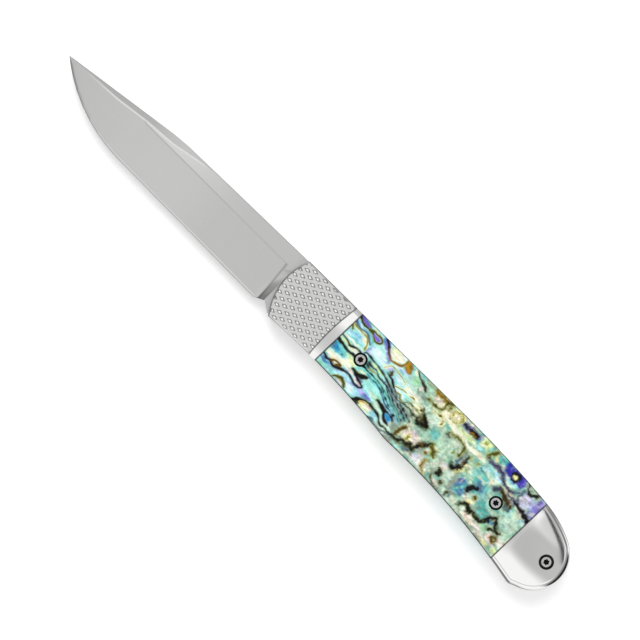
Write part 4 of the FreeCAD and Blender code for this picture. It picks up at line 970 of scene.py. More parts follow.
    (46.4, 7.4, 3, 0.6, 0, "cream", 0.6),
    (49.4, 8.4, 1.6, 0.5, 0, "lime", 0.6),
    (54.5, 2.4, 0.9, 2, 0, "slate", 1),
    (54.5, 1.6, 0.5, 1, 0, "ocean", 0.5),
    (54.7, 3.7, 0.6, 0.5, 0, "stone", 0.6),
    (54.6, 4.9, 1, 0.45, 0, "stone", 0.9),
    (58.2, -3.9, 0.55, 0.45, 0, "sea", 0.9),
    (59.6, -2.3, 0.55, 0.5, 20, "teal", 0.8),
    (60.5, -4.2, 0.5, 0.4, 0, "slate", 0.8),
    (58.6, -0.9, 0.6, 0.4, 0, "navy", 0.7),
    (57.6, -2.4, 0.4, 0.7, 10, "slate", 0.8),
    (60.3, -1.4, 0.5, 0.6, -20, "sea", 0.8),
    (59.2, -4.8, 0.6, 0.35, 0, "sea", 0.8),
    (61.6, -3, 0.6, 0.5, 0, "slate", 0.7),
    (58.9, -3.1, 0.4, 0.35, 0, "fern", 0.7),
    (57.6, -1.4, 0.5, 0.4, 20, "plum", 0.8),
    (60, -3.1, 0.4, 0.4, 0, "navy", 0.45),
    (62.6, -1.6, 0.7, 0.6, 0, "sea", 0.7),
    (63.6, 1.6, 0.9, 0.5, 20, "slate", 0.6),
    (62, 2.4, 0.6, 0.4, 0, "ocean", 0.6),
    (64.8, 1.6, 0.7, 0.7, 0, "teal", 0.7),
    (66, 0.4, 0.8, 0.6, 0, "sea", 0.7),
    (45.4, 3.3, 0.5, 0.6, 20, "slate", 0.35),
    (44.4, 1.4, 0.6, 0.5, 0, "stone", 0.6),
    (46.8, 3.2, 0.7, 0.7, 0, "mint", 0.8),
    (43, 0.8, 0.8, 0.6, 0, "sage", 0.7),
    (43.2, -6.1, 1.2, 0.45, 0, "night", 0.6),
    (44.4, -3.6, 0.5, 0.8, -20, "ash", 0.8),
    (46.6, -1.6, 0.5, 0.7, 0, "pearl", 0.6),
    (48.6, -3.6, 0.4, 0.6, 0, "khaki", 0.7),
    (49.8, -3.4, 0.6, 0.5, 0, "pink", 0.5),
    (49.2, -0.6, 0.7, 0.5, 0, "mist", 0.7),
    (52.2, 1.4, 0.6, 0.8, 0, "stone", 0.4),
    (51, 5, 0.8, 0.4, 0, "mint", 0.7),
    (56.4, 6.6, 1.6, 0.4, 0, "cream", 0.8),
    (67, -7.9, 3.4, 0.7, -6, "cream", 0.55),
    (71.3, -8.1, 2.4, 0.7, -8, "pink", 0.6),
    (73.4, -8.6, 1.6, 0.6, -8, "straw", 0.6),
    (75.6, -7.7, 1.3, 0.7, 0, "pink", 0.6),
]

# Growth lines: the line's shade, the shade that glows beside it, and points with their half widths.
LINES = [
    ("ink", "moss", [(8.6, 11.1, 0.3), (9.8, 10.3, 0.25), (11.6, 9.85, 0.25), (13, 9.9, 0.2)]),
    ("violet", "dusk", [(9.4, 11.3, 0.4), (10.8, 10.85, 0.45), (12.3, 10.5, 0.3)]),
    ("olive", "moss", [
        (13, 10, 0.3), (13.9, 10.1, 0.35), (14.6, 9.7, 0.25), (16, 8.9, 0.22), (17.3, 9, 0.2),
        (17.6, 9.8, 0.18), (16.8, 10.4, 0.2), (15, 10.5, 0.2), (14, 10.3, 0.3),
    ]),
    ("violet", "lilac", [(14.9, 9.8, 0.3), (15.8, 9.65, 0.4), (16.8, 9.6, 0.3)]),
    ("slate", "blue", [
        (8.7, 9.3, 0.35), (10, 8.6, 0.25), (11.2, 8.5, 0.22), (13, 8.8, 0.2), (14.4, 8.2, 0.25),
        (15.7, 7.1, 0.2),
    ]),
    ("moss", "straw", [
        (9, 8.4, 0.1), (10.3, 8.1, 0.14), (12.2, 8.15, 0.14), (13.6, 8.1, 0.16), (14.6, 7.5, 0.2),
        (15.3, 6.3, 0.2), (15.6, 5.2, 0.2),
    ]),
    ("olive", "moss", [(9, 7.5, 0.2), (9.5, 7.1, 0.25)]),
    ("ink", "olive", [
        (8.7, 4.1, 0.12), (10.3, 3.85, 0.14), (12, 3.4, 0.2), (13, 3.6, 0.18), (14.2, 4.05, 0.16),
        (15.5, 3.9, 0.2),
    ]),
    ("ink", "olive", [
        (8.5, 2.55, 0.5), (9.6, 2.4, 0.4), (11, 2.1, 0.24), (13, 1.95, 0.26), (15.4, 2.1, 0.4),
    ]),
    ("slate", "teal", [(12.2, 0.1, 0.25), (12.4, 0.05, 0.25)]),
    ("ink", "dusk", [
        (8.5, -2.85, 0.2), (10, -3.35, 0.28), (11.2, -3.2, 0.22), (12.7, -3.65, 0.26), (14, -3.25, 0.32),
        (15.5, -2.65, 0.26), (17, -2.35, 0.22), (18.4, -2.6, 0.22), (20.1, -3.3, 0.24), (21.4, -3, 0.24),
        (22.1, -2.35, 0.24), (20.6, -1.8, 0.14), (18.6, -1.1, 0.2),
    ]),
    ("brown", "gold", [
        (11.4, -3, 0.2), (11.9, -2.35, 0.18), (13, -2.1, 0.16), (14.1, -2.35, 0.3), (13.2, -2.9, 0.22),
    ]),
    ("ink", "olive", [(17.1, -0.45, 0.2), (18.6, -0.85, 0.32), (20, -0.5, 0.4), (21.4, 0.35, 0.35)]),
    ("ink", "dusk", [(18.6, -1.15, 0.2), (19.8, -1.5, 0.2), (21.2, -1.75, 0.15)]),
    ("olive", "moss", [
        (14.4, -5.7, 0.2), (15.6, -4.8, 0.25), (16.8, -4.45, 0.28), (18, -5.1, 0.25), (18.8, -5.8, 0.2),
    ]),
    ("ink", "violet", [
        (18.2, 11.4, 0.4), (19.4, 10.7, 0.35), (20.3, 9.8, 0.25), (21.4, 8.8, 0.2), (22.5, 8.2, 0.16),
    ]),
    ("bronze", "gold", [
        (20.2, 10.1, 0.1), (21.2, 9, 0.1), (22.6, 8.25, 0.14), (23.8, 8.5, 0.18), (25, 8.7, 0.2),
        (25.9, 9.5, 0.2), (26.3, 11.3, 0.22),
    ]),
    ("gold", "gold", [(26.6, 10.9, 0.4), (27.2, 9.7, 0.5), (28.4, 9.2, 0.35)]),
    ("stone", "straw", [
        (22.6, 5.6, 0.1), (23.2, 6.6, 0.12), (24.3, 7.35, 0.12), (26, 7.35, 0.12), (28, 7, 0.12),
        (29.6, 6.7, 0.1),
    ]),
    ("olive", "stone", [(25.1, 6.1, 0.3), (25.5, 5.6, 0.35)]),
    ("umber", "stone", [
        (30, 11.3, 0.15), (31.6, 10.2, 0.2), (33, 9.95, 0.4), (34.3, 9.4, 0.32), (35, 8.7, 0.22),
    ]),
    ("stone", "mint", [(33.2, 7.9, 0.2), (33.9, 7.2, 0.15)]),
    ("bronze", "moss", [
        (37, 11.2, 0.35), (37.8, 10.7, 0.3), (38.8, 10.8, 0.4), (39.8, 11.2, 0.3), (41.4, 11.2, 0.4),
    ]),
    ("olive", "moss", [
        (37, 8.2, 0.1), (38.8, 7.9, 0.2), (40.4, 7.9, 0.25), (41.4, 8.4, 0.22), (41.7, 9.4, 0.25),
        (41.6, 10.6, 0.3), (42.6, 11.3, 0.5),
    ]),
    ("ink", "slate", [
        (16.2, 4.7, 0.16), (17.2, 5.1, 0.2), (18.4, 5, 0.22), (20, 4.75, 0.1), (22.4, 4.5, 0.11),
        (24.5, 4, 0.12), (26.4, 3.3, 0.12), (28.3, 2.7, 0.13), (30, 2.1, 0.12), (31.6, 1.9, 0.08),
    ]),
    ("ink", "slate", [
        (19, 3.5, 0.2), (20.6, 3.3, 0.11), (22, 3.55, 0.08), (23.4, 2.9, 0.11), (25, 2.65, 0.1),
        (27, 2.4, 0.1), (28.8, 1.7, 0.11), (30.6, 1, 0.1),
    ]),
    ("ink", "teal", [
        (19, 1.9, 0.35), (20.6, 1.9, 0.13), (23, 1.75, 0.1), (25.2, 1.45, 0.1), (27.2, 0.7, 0.11),
        (29, -0.1, 0.11), (30.6, -0.9, 0.11), (32.6, -1.3, 0.1), (34.4, -2.2, 0.14),
    ]),
    ("ink", "azure", [
        (20.8, 1.2, 0.07), (23, 1.05, 0.08), (25, 0.75, 0.1), (27, 0.05, 0.1), (28.8, -0.8, 0.16),
        (30.4, -1.4, 0.16), (32.4, -1.75, 0.14), (33.8, -2.6, 0.14),
    ]),
    ("ink", "slate", [
        (25.6, 2.9, 0.07), (27.4, 1.8, 0.08), (29.2, 0.8, 0.1), (31, -0.2, 0.1), (33, -0.7, 0.1),
        (35.2, -1.9, 0.08),
    ]),
    ("ink", "slate", [
        (28, 3, 0.07), (29.6, 1.6, 0.1), (31.4, 0.4, 0.11), (33.4, -0.2, 0.11), (35.6, -1.3, 0.08),
        (36.2, -1.8, 0.07),
    ]),
    ("ink", "slate", [(31, 1.5, 0.07), (32.6, 0.9, 0.18), (34.2, 0.4, 0.12), (36.4, -0.6, 0.1)]),
    ("ink", "stone", [(32.2, 1.6, 0.12), (33.6, 1.1, 0.11), (35.4, 0.6, 0.11), (37.4, -0.1, 0.14)]),
    ("ink", "stone", [
        (24.5, 5.2, 0.08), (26, 4.9, 0.11), (27.2, 4.5, 0.13), (28.4, 3.6, 0.14), (29.6, 3.2, 0.12),
        (31, 3.1, 0.09),
    ]),
    ("olive", "straw", [
        (28.4, 4.2, 0.07), (29.6, 4.5, 0.08), (30.6, 5, 0.1), (31.6, 5, 0.08), (32.8, 4.75, 0.08),
        (34, 5.1, 0.1), (35.6, 4.7, 0.1), (38, 4.4, 0.16),
    ]),
    ("olive", "khaki", [
        (29.6, 3.2, 0.07), (31, 3.4, 0.11), (31.6, 2.6, 0.1), (32.8, 2.6, 0.1), (33.6, 3.3, 0.1),
        (35, 3.75, 0.08), (37.8, 3.5, 0.14),
    ]),
    ("ink", "olive", [
        (32, 2, 0.12), (33.2, 2.2, 0.12), (35, 2.5, 0.1), (36.6, 2.2, 0.22), (38.2, 2.2, 0.2),
        (39, 1.4, 0.3), (40.2, 1.7, 0.4), (41.6, 2.1, 0.5),
    ]),
    ("ink", "olive", [
        (38.1, 5.1, 0.12), (38.9, 4.3, 0.22), (39.8, 3.4, 0.35), (40.8, 2.7, 0.45), (42, 2.1, 0.3),
    ]),
    ("ink", "olive", [
        (22.7, -6.4, 0.4), (23.6, -5.5, 0.4), (24.4, -4.7, 0.28), (25.8, -4.3, 0.2), (27.2, -4.05, 0.22),
        (28.6, -4.4, 0.2), (30, -4.45, 0.2), (31, -5.1, 0.2), (32.2, -5.85, 0.18), (34, -5.9, 0.16),
        (36, -5.95, 0.16),
    ]),
    ("gold", "straw", [(24.6, -5.4, 0.2), (25.2, -4.9, 0.18), (26.6, -4.55, 0.1)]),
    ("slate", "slate", [(28.9, -6.9, 0.2), (29.8, -6.5, 0.28), (30.6, -6.9, 0.2)]),
    ("slate", "stone", [(30.8, -6.9, 0.1), (33, -7.1, 0.12), (35, -6.6, 0.12), (36.6, -6.2, 0.14)]),
    ("stone", "stone", [(35, -7.4, 0.14), (36.6, -7, 0.14), (38.4, -7.5, 0.14)]),
    ("ink", "olive", [
        (27.4, -1.9, 0.15), (28.4, -2, 0.4), (29.6, -2.25, 0.48), (30.8, -2.8, 0.4), (31.4, -3.6, 0.3),
        (32.4, -4.4, 0.26), (34.2, -4.75, 0.2),
    ]),
    ("ink", "slate", [(30.9, -2.4, 0.3), (32, -2.35, 0.18), (33.2, -2.7, 0.18), (34.2, -3.2, 0.14)]),
    ("azure", "blue", [(31.9, -3.1, 0.35), (32.8, -3.4, 0.45), (33.5, -3.8, 0.3)]),
    ("olive", "bronze", [(37.2, -5.4, 0.3), (37.1, -4.2, 0.38), (37.5, -2.8, 0.45), (38, -1.7, 0.3)]),
    ("moss", "straw", [(40.2, -3.9, 0.25), (40.4, -2.8, 0.25)]),
    ("ink", "olive", [
        (36.6, -5.9, 0.3), (38.4, -5.7, 0.3), (40, -5, 0.3), (41.2, -4.6, 0.35), (42, -3.9, 0.3),
        (42.6, -4.7, 0.4), (43.4, -4.3, 0.35), (43.9, -2.9, 0.32), (44.6, -1.7, 0.3), (45.6, -0.5, 0.26),
        (46.3, 0.2, 0.24),
    ]),
    ("brown", "brown", [(43.6, -1.9, 0.2), (44.4, -2, 0.2)]),
    ("olive", "moss", [
        (46.3, 0.3, 0.2), (46.8, -0.6, 0.18), (47.6, -1.2, 0.28), (48.2, -1.9, 0.26), (49, -2.2, 0.18),
    ]),
    ("umber", "bronze", [(46.1, -2.9, 0.2), (46.5, -2.9, 0.22)]),
    ("bronze", "khaki", [
        (47.8, -4, 0.18), (47.9, -4.8, 0.25), (47.7, -5.6, 0.26), (48.6, -6.5, 0.16), (49.4, -7.3, 0.14),
    ]),
    ("olive", "straw", [
        (40.4, 6.6, 0.14), (41.6, 6.7, 0.14), (42.6, 7.05, 0.16), (43.7, 6.5, 0.16), (44.2, 5.5, 0.2),
    ]),
    ("moss", "straw", [
        (44.3, 10.4, 0.16), (44.4, 9.5, 0.1), (45.2, 8.7, 0.06), (46.3, 8.5, 0.08), (47.2, 9.2, 0.18),
        (47.4, 10.4, 0.24), (46.6, 11.2, 0.2), (45, 11.1, 0.14), (44.3, 10.4, 0.16),
    ]),
    ("olive", "khaki", [(42.8, 10.2, 0.15), (42.9, 9.7, 0.15)]),
    ("ink", "dusk", [(48.6, 10, 0.25), (50, 9.9, 0.25), (51.4, 10.1, 0.35), (53.2, 10, 0.4)]),
    ("bronze", "umber", [(51.6, 9.5, 0.25), (53, 9.4, 0.25)]),
    ("moss", "lime", [(55.8, 10.4, 0.32), (56.3, 10.35, 0.3)]),
    ("olive", "moss", [(58.5, 8.3, 0.25), (59.2, 9.3, 0.2), (59.9, 10.2, 0.28), (60.3, 10.9, 0.3)]),
    ("olive", "stone", [(59.3, 8.1, 0.2), (60.6, 8.2, 0.2)]),
    ("slate", "teal", [(62.4, 10.7, 0.25), (62.9, 10.4, 0.2)]),
    ("night", "dusk", [
        (60.3, 7.7, 0.14), (61.4, 7.8, 0.18), (62.6, 8.2, 0.26), (63.8, 8.15, 0.32), (65, 7.7, 0.28),
        (66, 6.9, 0.2), (67.2, 6.1, 0.14), (69, 5.75, 0.1), (70.6, 6.2, 0.08), (71.3, 7.2, 0.08),
    ]),
    ("olive", "stone", [(47.3, 5.3, 0.2), (47.9, 4.7, 0.18)]),
    ("olive", "khaki", [
        (47.6, 5.9, 0.12), (49, 5.7, 0.14), (49.8, 6.2, 0.14), (51.4, 6, 0.14), (52.6, 5.6, 0.16),
        (53.3, 4.7, 0.18), (53.4, 3.6, 0.2), (53.1, 2.9, 0.2),
    ]),
    ("moss", "sage", [(51.5, 2.9, 0.25), (51.7, 2.3, 0.25)]),
    ("ink", "umber", [
        (55.8, 4.6, 0.2), (55.7, 3, 0.3), (55.6, 1.4, 0.38), (55.1, 0.3, 0.45), (54.2, -0.35, 0.5),
        (53.5, -0.1, 0.34),
    ]),
    ("khaki", "straw", [(56.2, 2.4, 0.1), (56.1, 0.8, 0.14), (55.7, -0.6, 0.2)]),
    ("moss", "sage", [
        (56, 5.1, 0.15), (56.6, 4.4, 0.22), (57.4, 4.7, 0.12), (58.4, 4.4, 0.22), (58.9, 5.2, 0.16),
    ]),
    ("moss", "sage", [(56.4, 3.6, 0.14), (57.4, 3.4, 0.16), (58.2, 3.9, 0.12)]),
    ("moss", "sage", [(57.4, 1.8, 0.18), (57.7, 1.3, 0.16)]),
    ("slate", "teal", [(60, 4.6, 0.25), (61, 4.4, 0.2)]),
    ("ink", "slate", [(61.2, -1.9, 0.45), (61.5, -1, 0.6), (62.3, -0.2, 0.5), (63.2, 0.4, 0.3)]),
    ("slate", "ocean", [(62.4, 1.6, 0.35), (63.6, 0.9, 0.3), (64.2, 0.4, 0.2)]),
    ("olive", "moss", [(64, -2, 0.2), (64.3, -2.4, 0.18)]),
    ("night", "slate", [(66, 3.4, 0.5), (67, 4.1, 0.45), (67.8, 4.5, 0.25)]),
    ("umber", "brown", [
        (67.2, 4.7, 0.15), (68.4, 4.2, 0.3), (69.6, 3.7, 0.35), (70.6, 3.2, 0.35), (72.4, 2.9, 0.3),
    ]),
    ("stone", "stone", [(56.6, -2, 0.2), (56.9, -3.4, 0.25), (57, -5, 0.3)]),
    ("olive", "stone", [(58.6, -5.4, 0.25), (57.9, -6.3, 0.25), (57.7, -7.2, 0.2)]),
    ("ink", "olive", [(51.9, -3.1, 0.2), (52.7, -3.4, 0.28), (52.9, -4.2, 0.28), (52.3, -4.7, 0.2)]),
    ("olive", "stone", [(54.5, -5.3, 0.3), (54.8, -5.7, 0.28)]),
    ("olive", "stone", [
        (51.5, -5.5, 0.15), (51.8, -6.3, 0.2), (52.8, -7.1, 0.2), (54, -7.4, 0.25), (55.6, -7.2, 0.2),
    ]),
    ("ink", "olive", [
        (62.2, -6.6, 0.16), (62.3, -5.8, 0.2), (63, -5, 0.28), (64.4, -4.8, 0.36), (65.2, -5.7, 0.4),
        (66.4, -5.2, 0.3), (67.8, -5.6, 0.28), (69.2, -5.7, 0.28), (70.2, -4.8, 0.3), (70.4, -3.6, 0.28),
        (71.2, -2.5, 0.3), (72.2, -1.9, 0.28), (73, -2.9, 0.35), (73.8, -3.9, 0.4), (75.2, -4.5, 0.35),
    ]),
    ("ink", "slate", [(70.4, -3.4, 0.2), (71.2, -4.1, 0.22)]),
    ("ink", "olive", [(72.5, -5.4, 0.2), (73.2, -4.8, 0.25), (74.2, -4.9, 0.25)]),
    ("olive", "bronze", [
        (74.7, -6.3, 0.16), (75.2, -5.8, 0.18), (76, -6, 0.18), (76.1, -6.6, 0.16), (75.4, -6.9, 0.16),
        (74.8, -6.6, 0.16),
    ]),
    ("ink", "navy", [
        (66.95, 9.3, 0.24), (67.3, 10.3, 0.24), (68.2, 10.7, 0.26), (69.1, 10.2, 0.26), (69.3, 9.3, 0.24),
        (68.6, 8.5, 0.22), (67.6, 8.4, 0.22), (66.95, 9.3, 0.24),
    ]),
    ("straw", "moss", [(67.8, 9.4, 0.34), (68.4, 9.45, 0.34)]),
    ("navy", "navy", [(64.8, 10.9, 0.3), (65.2, 9.6, 0.25), (66.2, 8.9, 0.2)]),
    ("violet", "navy", [(70.4, 11, 0.4), (70.8, 10, 0.2), (70.6, 8.8, 0.2)]),
    ("ink", "stone", [
        (71.9, 11, 0.14), (72.9, 9.8, 0.2), (73.9, 8.8, 0.26), (75.2, 9.4, 0.26), (76, 10.4, 0.36),
    ]),
    ("slate", "slate", [(72.4, 8.6, 0.16), (72.2, 7, 0.14), (72.6, 5.6, 0.12)]),
    ("ink", "dusk", [
        (69.8, 4.9, 0.12), (72, 4.7, 0.3), (74, 4.4, 0.26), (76, 4, 0.3), (77.6, 3.6, 0.42),
        (79.1, 3.1, 0.6),
    ]),
    ("slate", "ink", [(71.4, 2.2, 0.35), (72.2, 1.8, 0.25)]),
    ("stone", "stone", [(67, -8.5, 0.25), (68.6, -8.6, 0.3), (69.6, -8.7, 0.2)]),
    ("stone", "stone", [(71, -9, 0.2), (73, -9.2, 0.25)]),
    ("ink", "teal", [
        (18.4, 1.75, 0.24), (20.2, 1.85, 0.2), (22, 1.9, 0.14), (24, 1.75, 0.12), (26, 1.45, 0.1),
        (28, 0.95, 0.1), (31, 0.15, 0.1), (34, -0.4, 0.08), (36.3, -0.6, 0.05),
    ]),
    ("ink", "teal", [
        (21.5, 0.8, 0.1), (23.5, 1.1, 0.1), (25.5, 0.8, 0.1), (27.5, 0.2, 0.1), (29.5, -0.5, 0.1),
        (32, -0.7, 0.08), (34, -1.2, 0.08), (35.8, -2, 0.05),
    ]),
    ("ink", "sky", [
        (27, 0, 0.06), (29, -0.9, 0.08), (31, -1.4, 0.08), (33, -1.8, 0.08), (35.4, -2.7, 0.06),
    ]),
    ("ink", "slate", [
        (25.2, 5.2, 0.12), (26.6, 4.6, 0.16), (28, 3.9, 0.14), (29, 3.2, 0.1), (31, 2.2, 0.1),
        (34, 1.2, 0.1), (37.2, 0.2, 0.06),
    ]),
]


def paint_shell(x, y, seed):
    """Colours of the shell at places in millimetres: soft patches, mottling, glows, then growth lines."""
    warp_x = x + 0.32 * lattice_noise(x, y, 1.3, seed) + 0.16 * lattice_noise(x, y, 0.5, seed + 1)
    warp_y = y + 0.32 * lattice_noise(x, y, 1.3, seed + 2) + 0.16 * lattice_noise(x, y, 0.5, seed + 3)
    mottled = smooth(29, 38, x)
    tone = lattice_noise(warp_x * 0.7, warp_y, 1.7, seed + 4)
    tone += 0.5 * lattice_noise(warp_x, warp_y, 0.7, seed + 16)
    left = shade("aqua") + np.clip(tone, 0, 1)[:, None] * (shade("ice") - shade("aqua"))
    left += np.clip(-tone, 0, 1)[:, None] * (shade("teal") - left)
    right = shade("sage") + np.clip(tone, 0, 1)[:, None] * (shade("mist") - shade("sage"))
    right += np.clip(-tone, 0, 1)[:, None] * 0.8 * (shade("sea") * 0.85 - right)
    colour = left + mottled[:, None] * (right - left)
    for px, py, length, height, tilt, name, strength in PATCHES:
        turn = math.radians(tilt)
        along = ((warp_x - px) * math.cos(turn) + (warp_y - py) * math.sin(turn)) / length
        across = ((warp_y - py) * math.cos(turn) - (warp_x - px) * math.sin(turn)) / height
        part = strength * np.exp(-((along**2 + across**2) ** 2))
        colour += part[:, None] * (shade(name) - colour)
    layer = np.sin(9 * warp_y + 2.2 * warp_x + 2.5 * lattice_noise(x, y, 2.6, seed + 12))
    colour *= (1 + 0.07 * layer * (1 - 0.5 * mottled))[:, None]
    fleck = lattice_noise(x, y, 0.9, seed + 5) + 0.7 * lattice_noise(x, y, 1.9, seed + 6)
    colour += (mottled * smooth(0.1, 1.2, fleck) * 0.5)[:, None] * (shade("cream") - colour)
    colour += (mottled * smooth(0.1, 1.2, -fleck) * 0.5)[:, None] * (shade("stone") * 0.8 - colour)
    rosy = smooth(0.3, 0.9, lattice_noise(x, y, 2.3, seed + 7)) * mottled * 0.25
    colour += rosy[:, None] * (shade("pink") - colour)
    smudge = lattice_noise(warp_x, warp_y, 1.6, seed + 8) + 0.5 * lattice_noise(warp_x, warp_y, 0.7, seed + 9)
    colour += (smooth(0.5, 1.3, smudge) * mottled * 0.45)[:, None] * (shade("stone") * 0.7 - colour)
    wander = 0.14 + 0.1 * mottled
    stray_x = lattice_noise(x, y, 0.8, seed + 10) + mottled * lattice_noise(x, y, 0.4, seed + 14)
    stray_y = lattice_noise(x, y, 0.8, seed + 11) + mottled * lattice_noise(x, y, 0.4, seed + 15)
    line_x, line_y = x + wander * stray_x, y + wander * stray_y
    swell = (0.09 + 0.12 * mottled) * lattice_noise(x, y, 0.9, seed + 13)
    drawn = []
    for core, glow, points in LINES:
        path = curve_through(points)
        near = np.flatnonzero(
            (x > path[:, 0].min() - GLOW_REACH)
            & (x < path[:, 0].max() + GLOW_REACH)
            & (y > path[:, 1].min() - GLOW_REACH)
            & (y < path[:, 1].max() + GLOW_REACH)
        )
        gap_x = line_x[near][:, None] - path[:, 0]
        gap_y = line_y[near][:, None] - path[:, 1]
        gap = (np.hypot(gap_x, gap_y) - path[:, 2]).min(axis=1) + swell[near]
        soft = 0.6 + 0.6 * smooth(33, 40, x[near])
        halo = 0.8 * np.exp(-((np.clip(gap, 0, None) / (0.42 * soft)) ** 2))
        colour[near] += halo[:, None] * (shade(glow) - colour[near])
        drawn.append((near, 0.96 * smooth(0.2, -0.16, gap / soft), core))
    for near, body, core in drawn:
        colour[near] += body[:, None] * (shade(core) - colour[near])
    grain = lattice_noise(x, y, 0.35, seed + 17) + lattice_noise(x * 0.5, y, 0.6, seed + 18)
    colour *= (1.08 + (0.1 + 0.1 * mottled) * grain)[:, None]
    shown = 0.64 + 1.13 * (np.clip(colour, 0, 1) ** 0.4545 - 0.61)
    return np.clip(shown, 0.03, 0.985) ** 2.2


def paint_rear(x, y):
    """Colours of the rear scale: the pattern turned end for end."""
    return paint_shell(REAR_TURN - x, y, REAR_SEED)


def places(node):
    """Corners of a node's mesh, in millimetres."""
    mesh = NODES[node].data
    points = np.empty(len(mesh.vertices) * 3, np.float32)
    mesh.vertices.foreach_get("co", points)
    return points.reshape(-1, 3).astype(float) / MM


def spans(node, lean, columns):
    """Lowest and highest y of a node along each slanted line x = column + lean * y, from its mesh edges."""
    mesh = NODES[node].data
    points = places(node)
    ends = np.empty(len(mesh.edges) * 2, np.int32)
    mesh.edges.foreach_get("vertices", ends)
    first, last = points[ends.reshape(-1, 2)].transpose(1, 0, 2)
    from_x, to_x = first[:, 0] - lean * first[:, 1], last[:, 0] - lean * last[:, 1]
    if columns is None:
        return min(from_x.min(), to_x.min()), max(from_x.max(), to_x.max())
    crossing = (np.minimum(from_x, to_x) <= columns[:, None]) & (np.maximum(from_x, to_x) >= columns[:, None])
    run = np.where(np.abs(to_x - from_x) < 1e-9, 1e-9, to_x - from_x)
    share = np.clip((columns[:, None] - from_x) / run, 0, 1)
    height = first[:, 1] + share * (last[:, 1] - first[:, 1])
    low = np.where(crossing, height, np.inf).min(axis=1)
    high = np.where(crossing, height, -np.inf).max(axis=1)
    return low, high


def grid_faces(index):
    """Four-cornered faces of a grid of point numbers."""
    corners = [index[:-1, :-1], index[1:, :-1], index[1:, 1:], index[:-1, 1:]]
    return np.stack(corners, axis=-1).reshape(-1, 4)


def band(first, second):
    """Faces between two closed rings with the same count of points."""
    turned = np.roll(np.arange(len(first)), -1)
    return np.stack([first, second, second[turned], first[turned]], -1)[:, ::-1].tolist()


def plate_grid(node, outer_z, inner_z, sizes):
    """Places of a scale's grid, and the columns where it starts and ends.

    A place is (column + lean * y, y), y going from the belly's line to the back's. Each of those two sides
    has a wall of straight rows and a quarter circle; the two ends go straight down.
    """
    lean = math.tan(sizes.joint_lean)
    way = 1 if outer_z > inner_z else -1
    start, end = spans(node, lean, None)
    columns = np.linspace(start + 1e-4, end - 1e-4, int((end - start) / sizes.pitch))
    low, high = spans(node, lean, columns)
    rim = sizes.rim_round
    turn = np.linspace(0, math.pi / 2, RIM_STEPS)
    inset = rim * (1 - np.cos(turn))
    drop = rim * (1 - np.sin(turn))
    count = int((high - low).max() / sizes.pitch)
    inner = np.linspace(0, 1, count)[1:-1]
    wall = np.linspace(abs(outer_z - inner_z), rim, WALL_ROWS + 1)[:-1]
    sides = np.zeros(len(wall) + len(turn))
    share = np.concatenate([sides, inner, sides + 1])
    offset = np.concatenate([wall * 0, inset, rim * (1 - 2 * inner), -inset[::-1], wall * 0])
    depth = np.concatenate([wall, drop, np.zeros(len(inner)), drop[::-1], wall[::-1]])
    grid_y = low[:, None] * (1 - share) + high[:, None] * share + offset
    grid_x = columns[:, None] + lean * grid_y
    grid_z = np.broadcast_to(outer_z - way * depth, grid_y.shape)
    grid = np.stack([grid_x, grid_y, grid_z], axis=-1)
    foot = grid[[0, -1]].copy()
    foot[..., 2] = inner_z
    return np.concatenate([foot[:1], grid, foot[1:]]), start, end


def open_wells(points, quads, radius):
    """Faces left round the screws, and each screw with the points round it, which it sets on a circle."""
    centres = points[quads].mean(axis=1)
    kept = np.ones(len(quads), bool)
    wells = []
    for place in (FRONT_SCREW, REAR_SCREW):
        inside = np.hypot(*(centres[:, :2] - place).T) < radius
        kept &= ~inside
        edge = np.intersect1d(quads[inside], quads[~inside])
        away = points[edge, :2] - place
        order = np.argsort(np.arctan2(away[:, 1], away[:, 0]))
        edge, away = edge[order], away[order]
        points[edge, :2] = place + away / np.hypot(*away.T)[:, None] * radius
        wells.append((place, edge))
    return quads[kept].tolist(), wells


def plate_colours(points, outer_z, start, end, paint, sizes):
    """Colours of a scale's points: the pattern carried down the walls, painted shade on the rims, deeper on
    the belly side, and dark at the joints.
    """
    belly = points[:, 1] < BELLY_SIDE
    sunk = np.abs(points[:, 2] - outer_z)
    colours = np.ones((len(points), 4))
    colours[:, :3] = paint(points[:, 0], points[:, 1] + np.where(belly, -sunk, sunk))
    fall = sunk / sizes.rim_round
    # Painted shade on the rounded rims, deeper on the belly side, away from the lamp.
    rim_shade = smooth(0.02, 0.3, fall) * (1 - 0.75 * smooth(0.95, 1.6, fall))
    colours[:, :3] *= (1 - np.where(belly, 0.85, 0.6) * rim_shade)[:, None]
    column = points[:, 0] - math.tan(sizes.joint_lean) * points[:, 1]
    to_joint = np.minimum(column - start, end - column)
    colours[:, :3] *= smooth(-0.02, 0.4, to_joint)[:, None]
    return colours


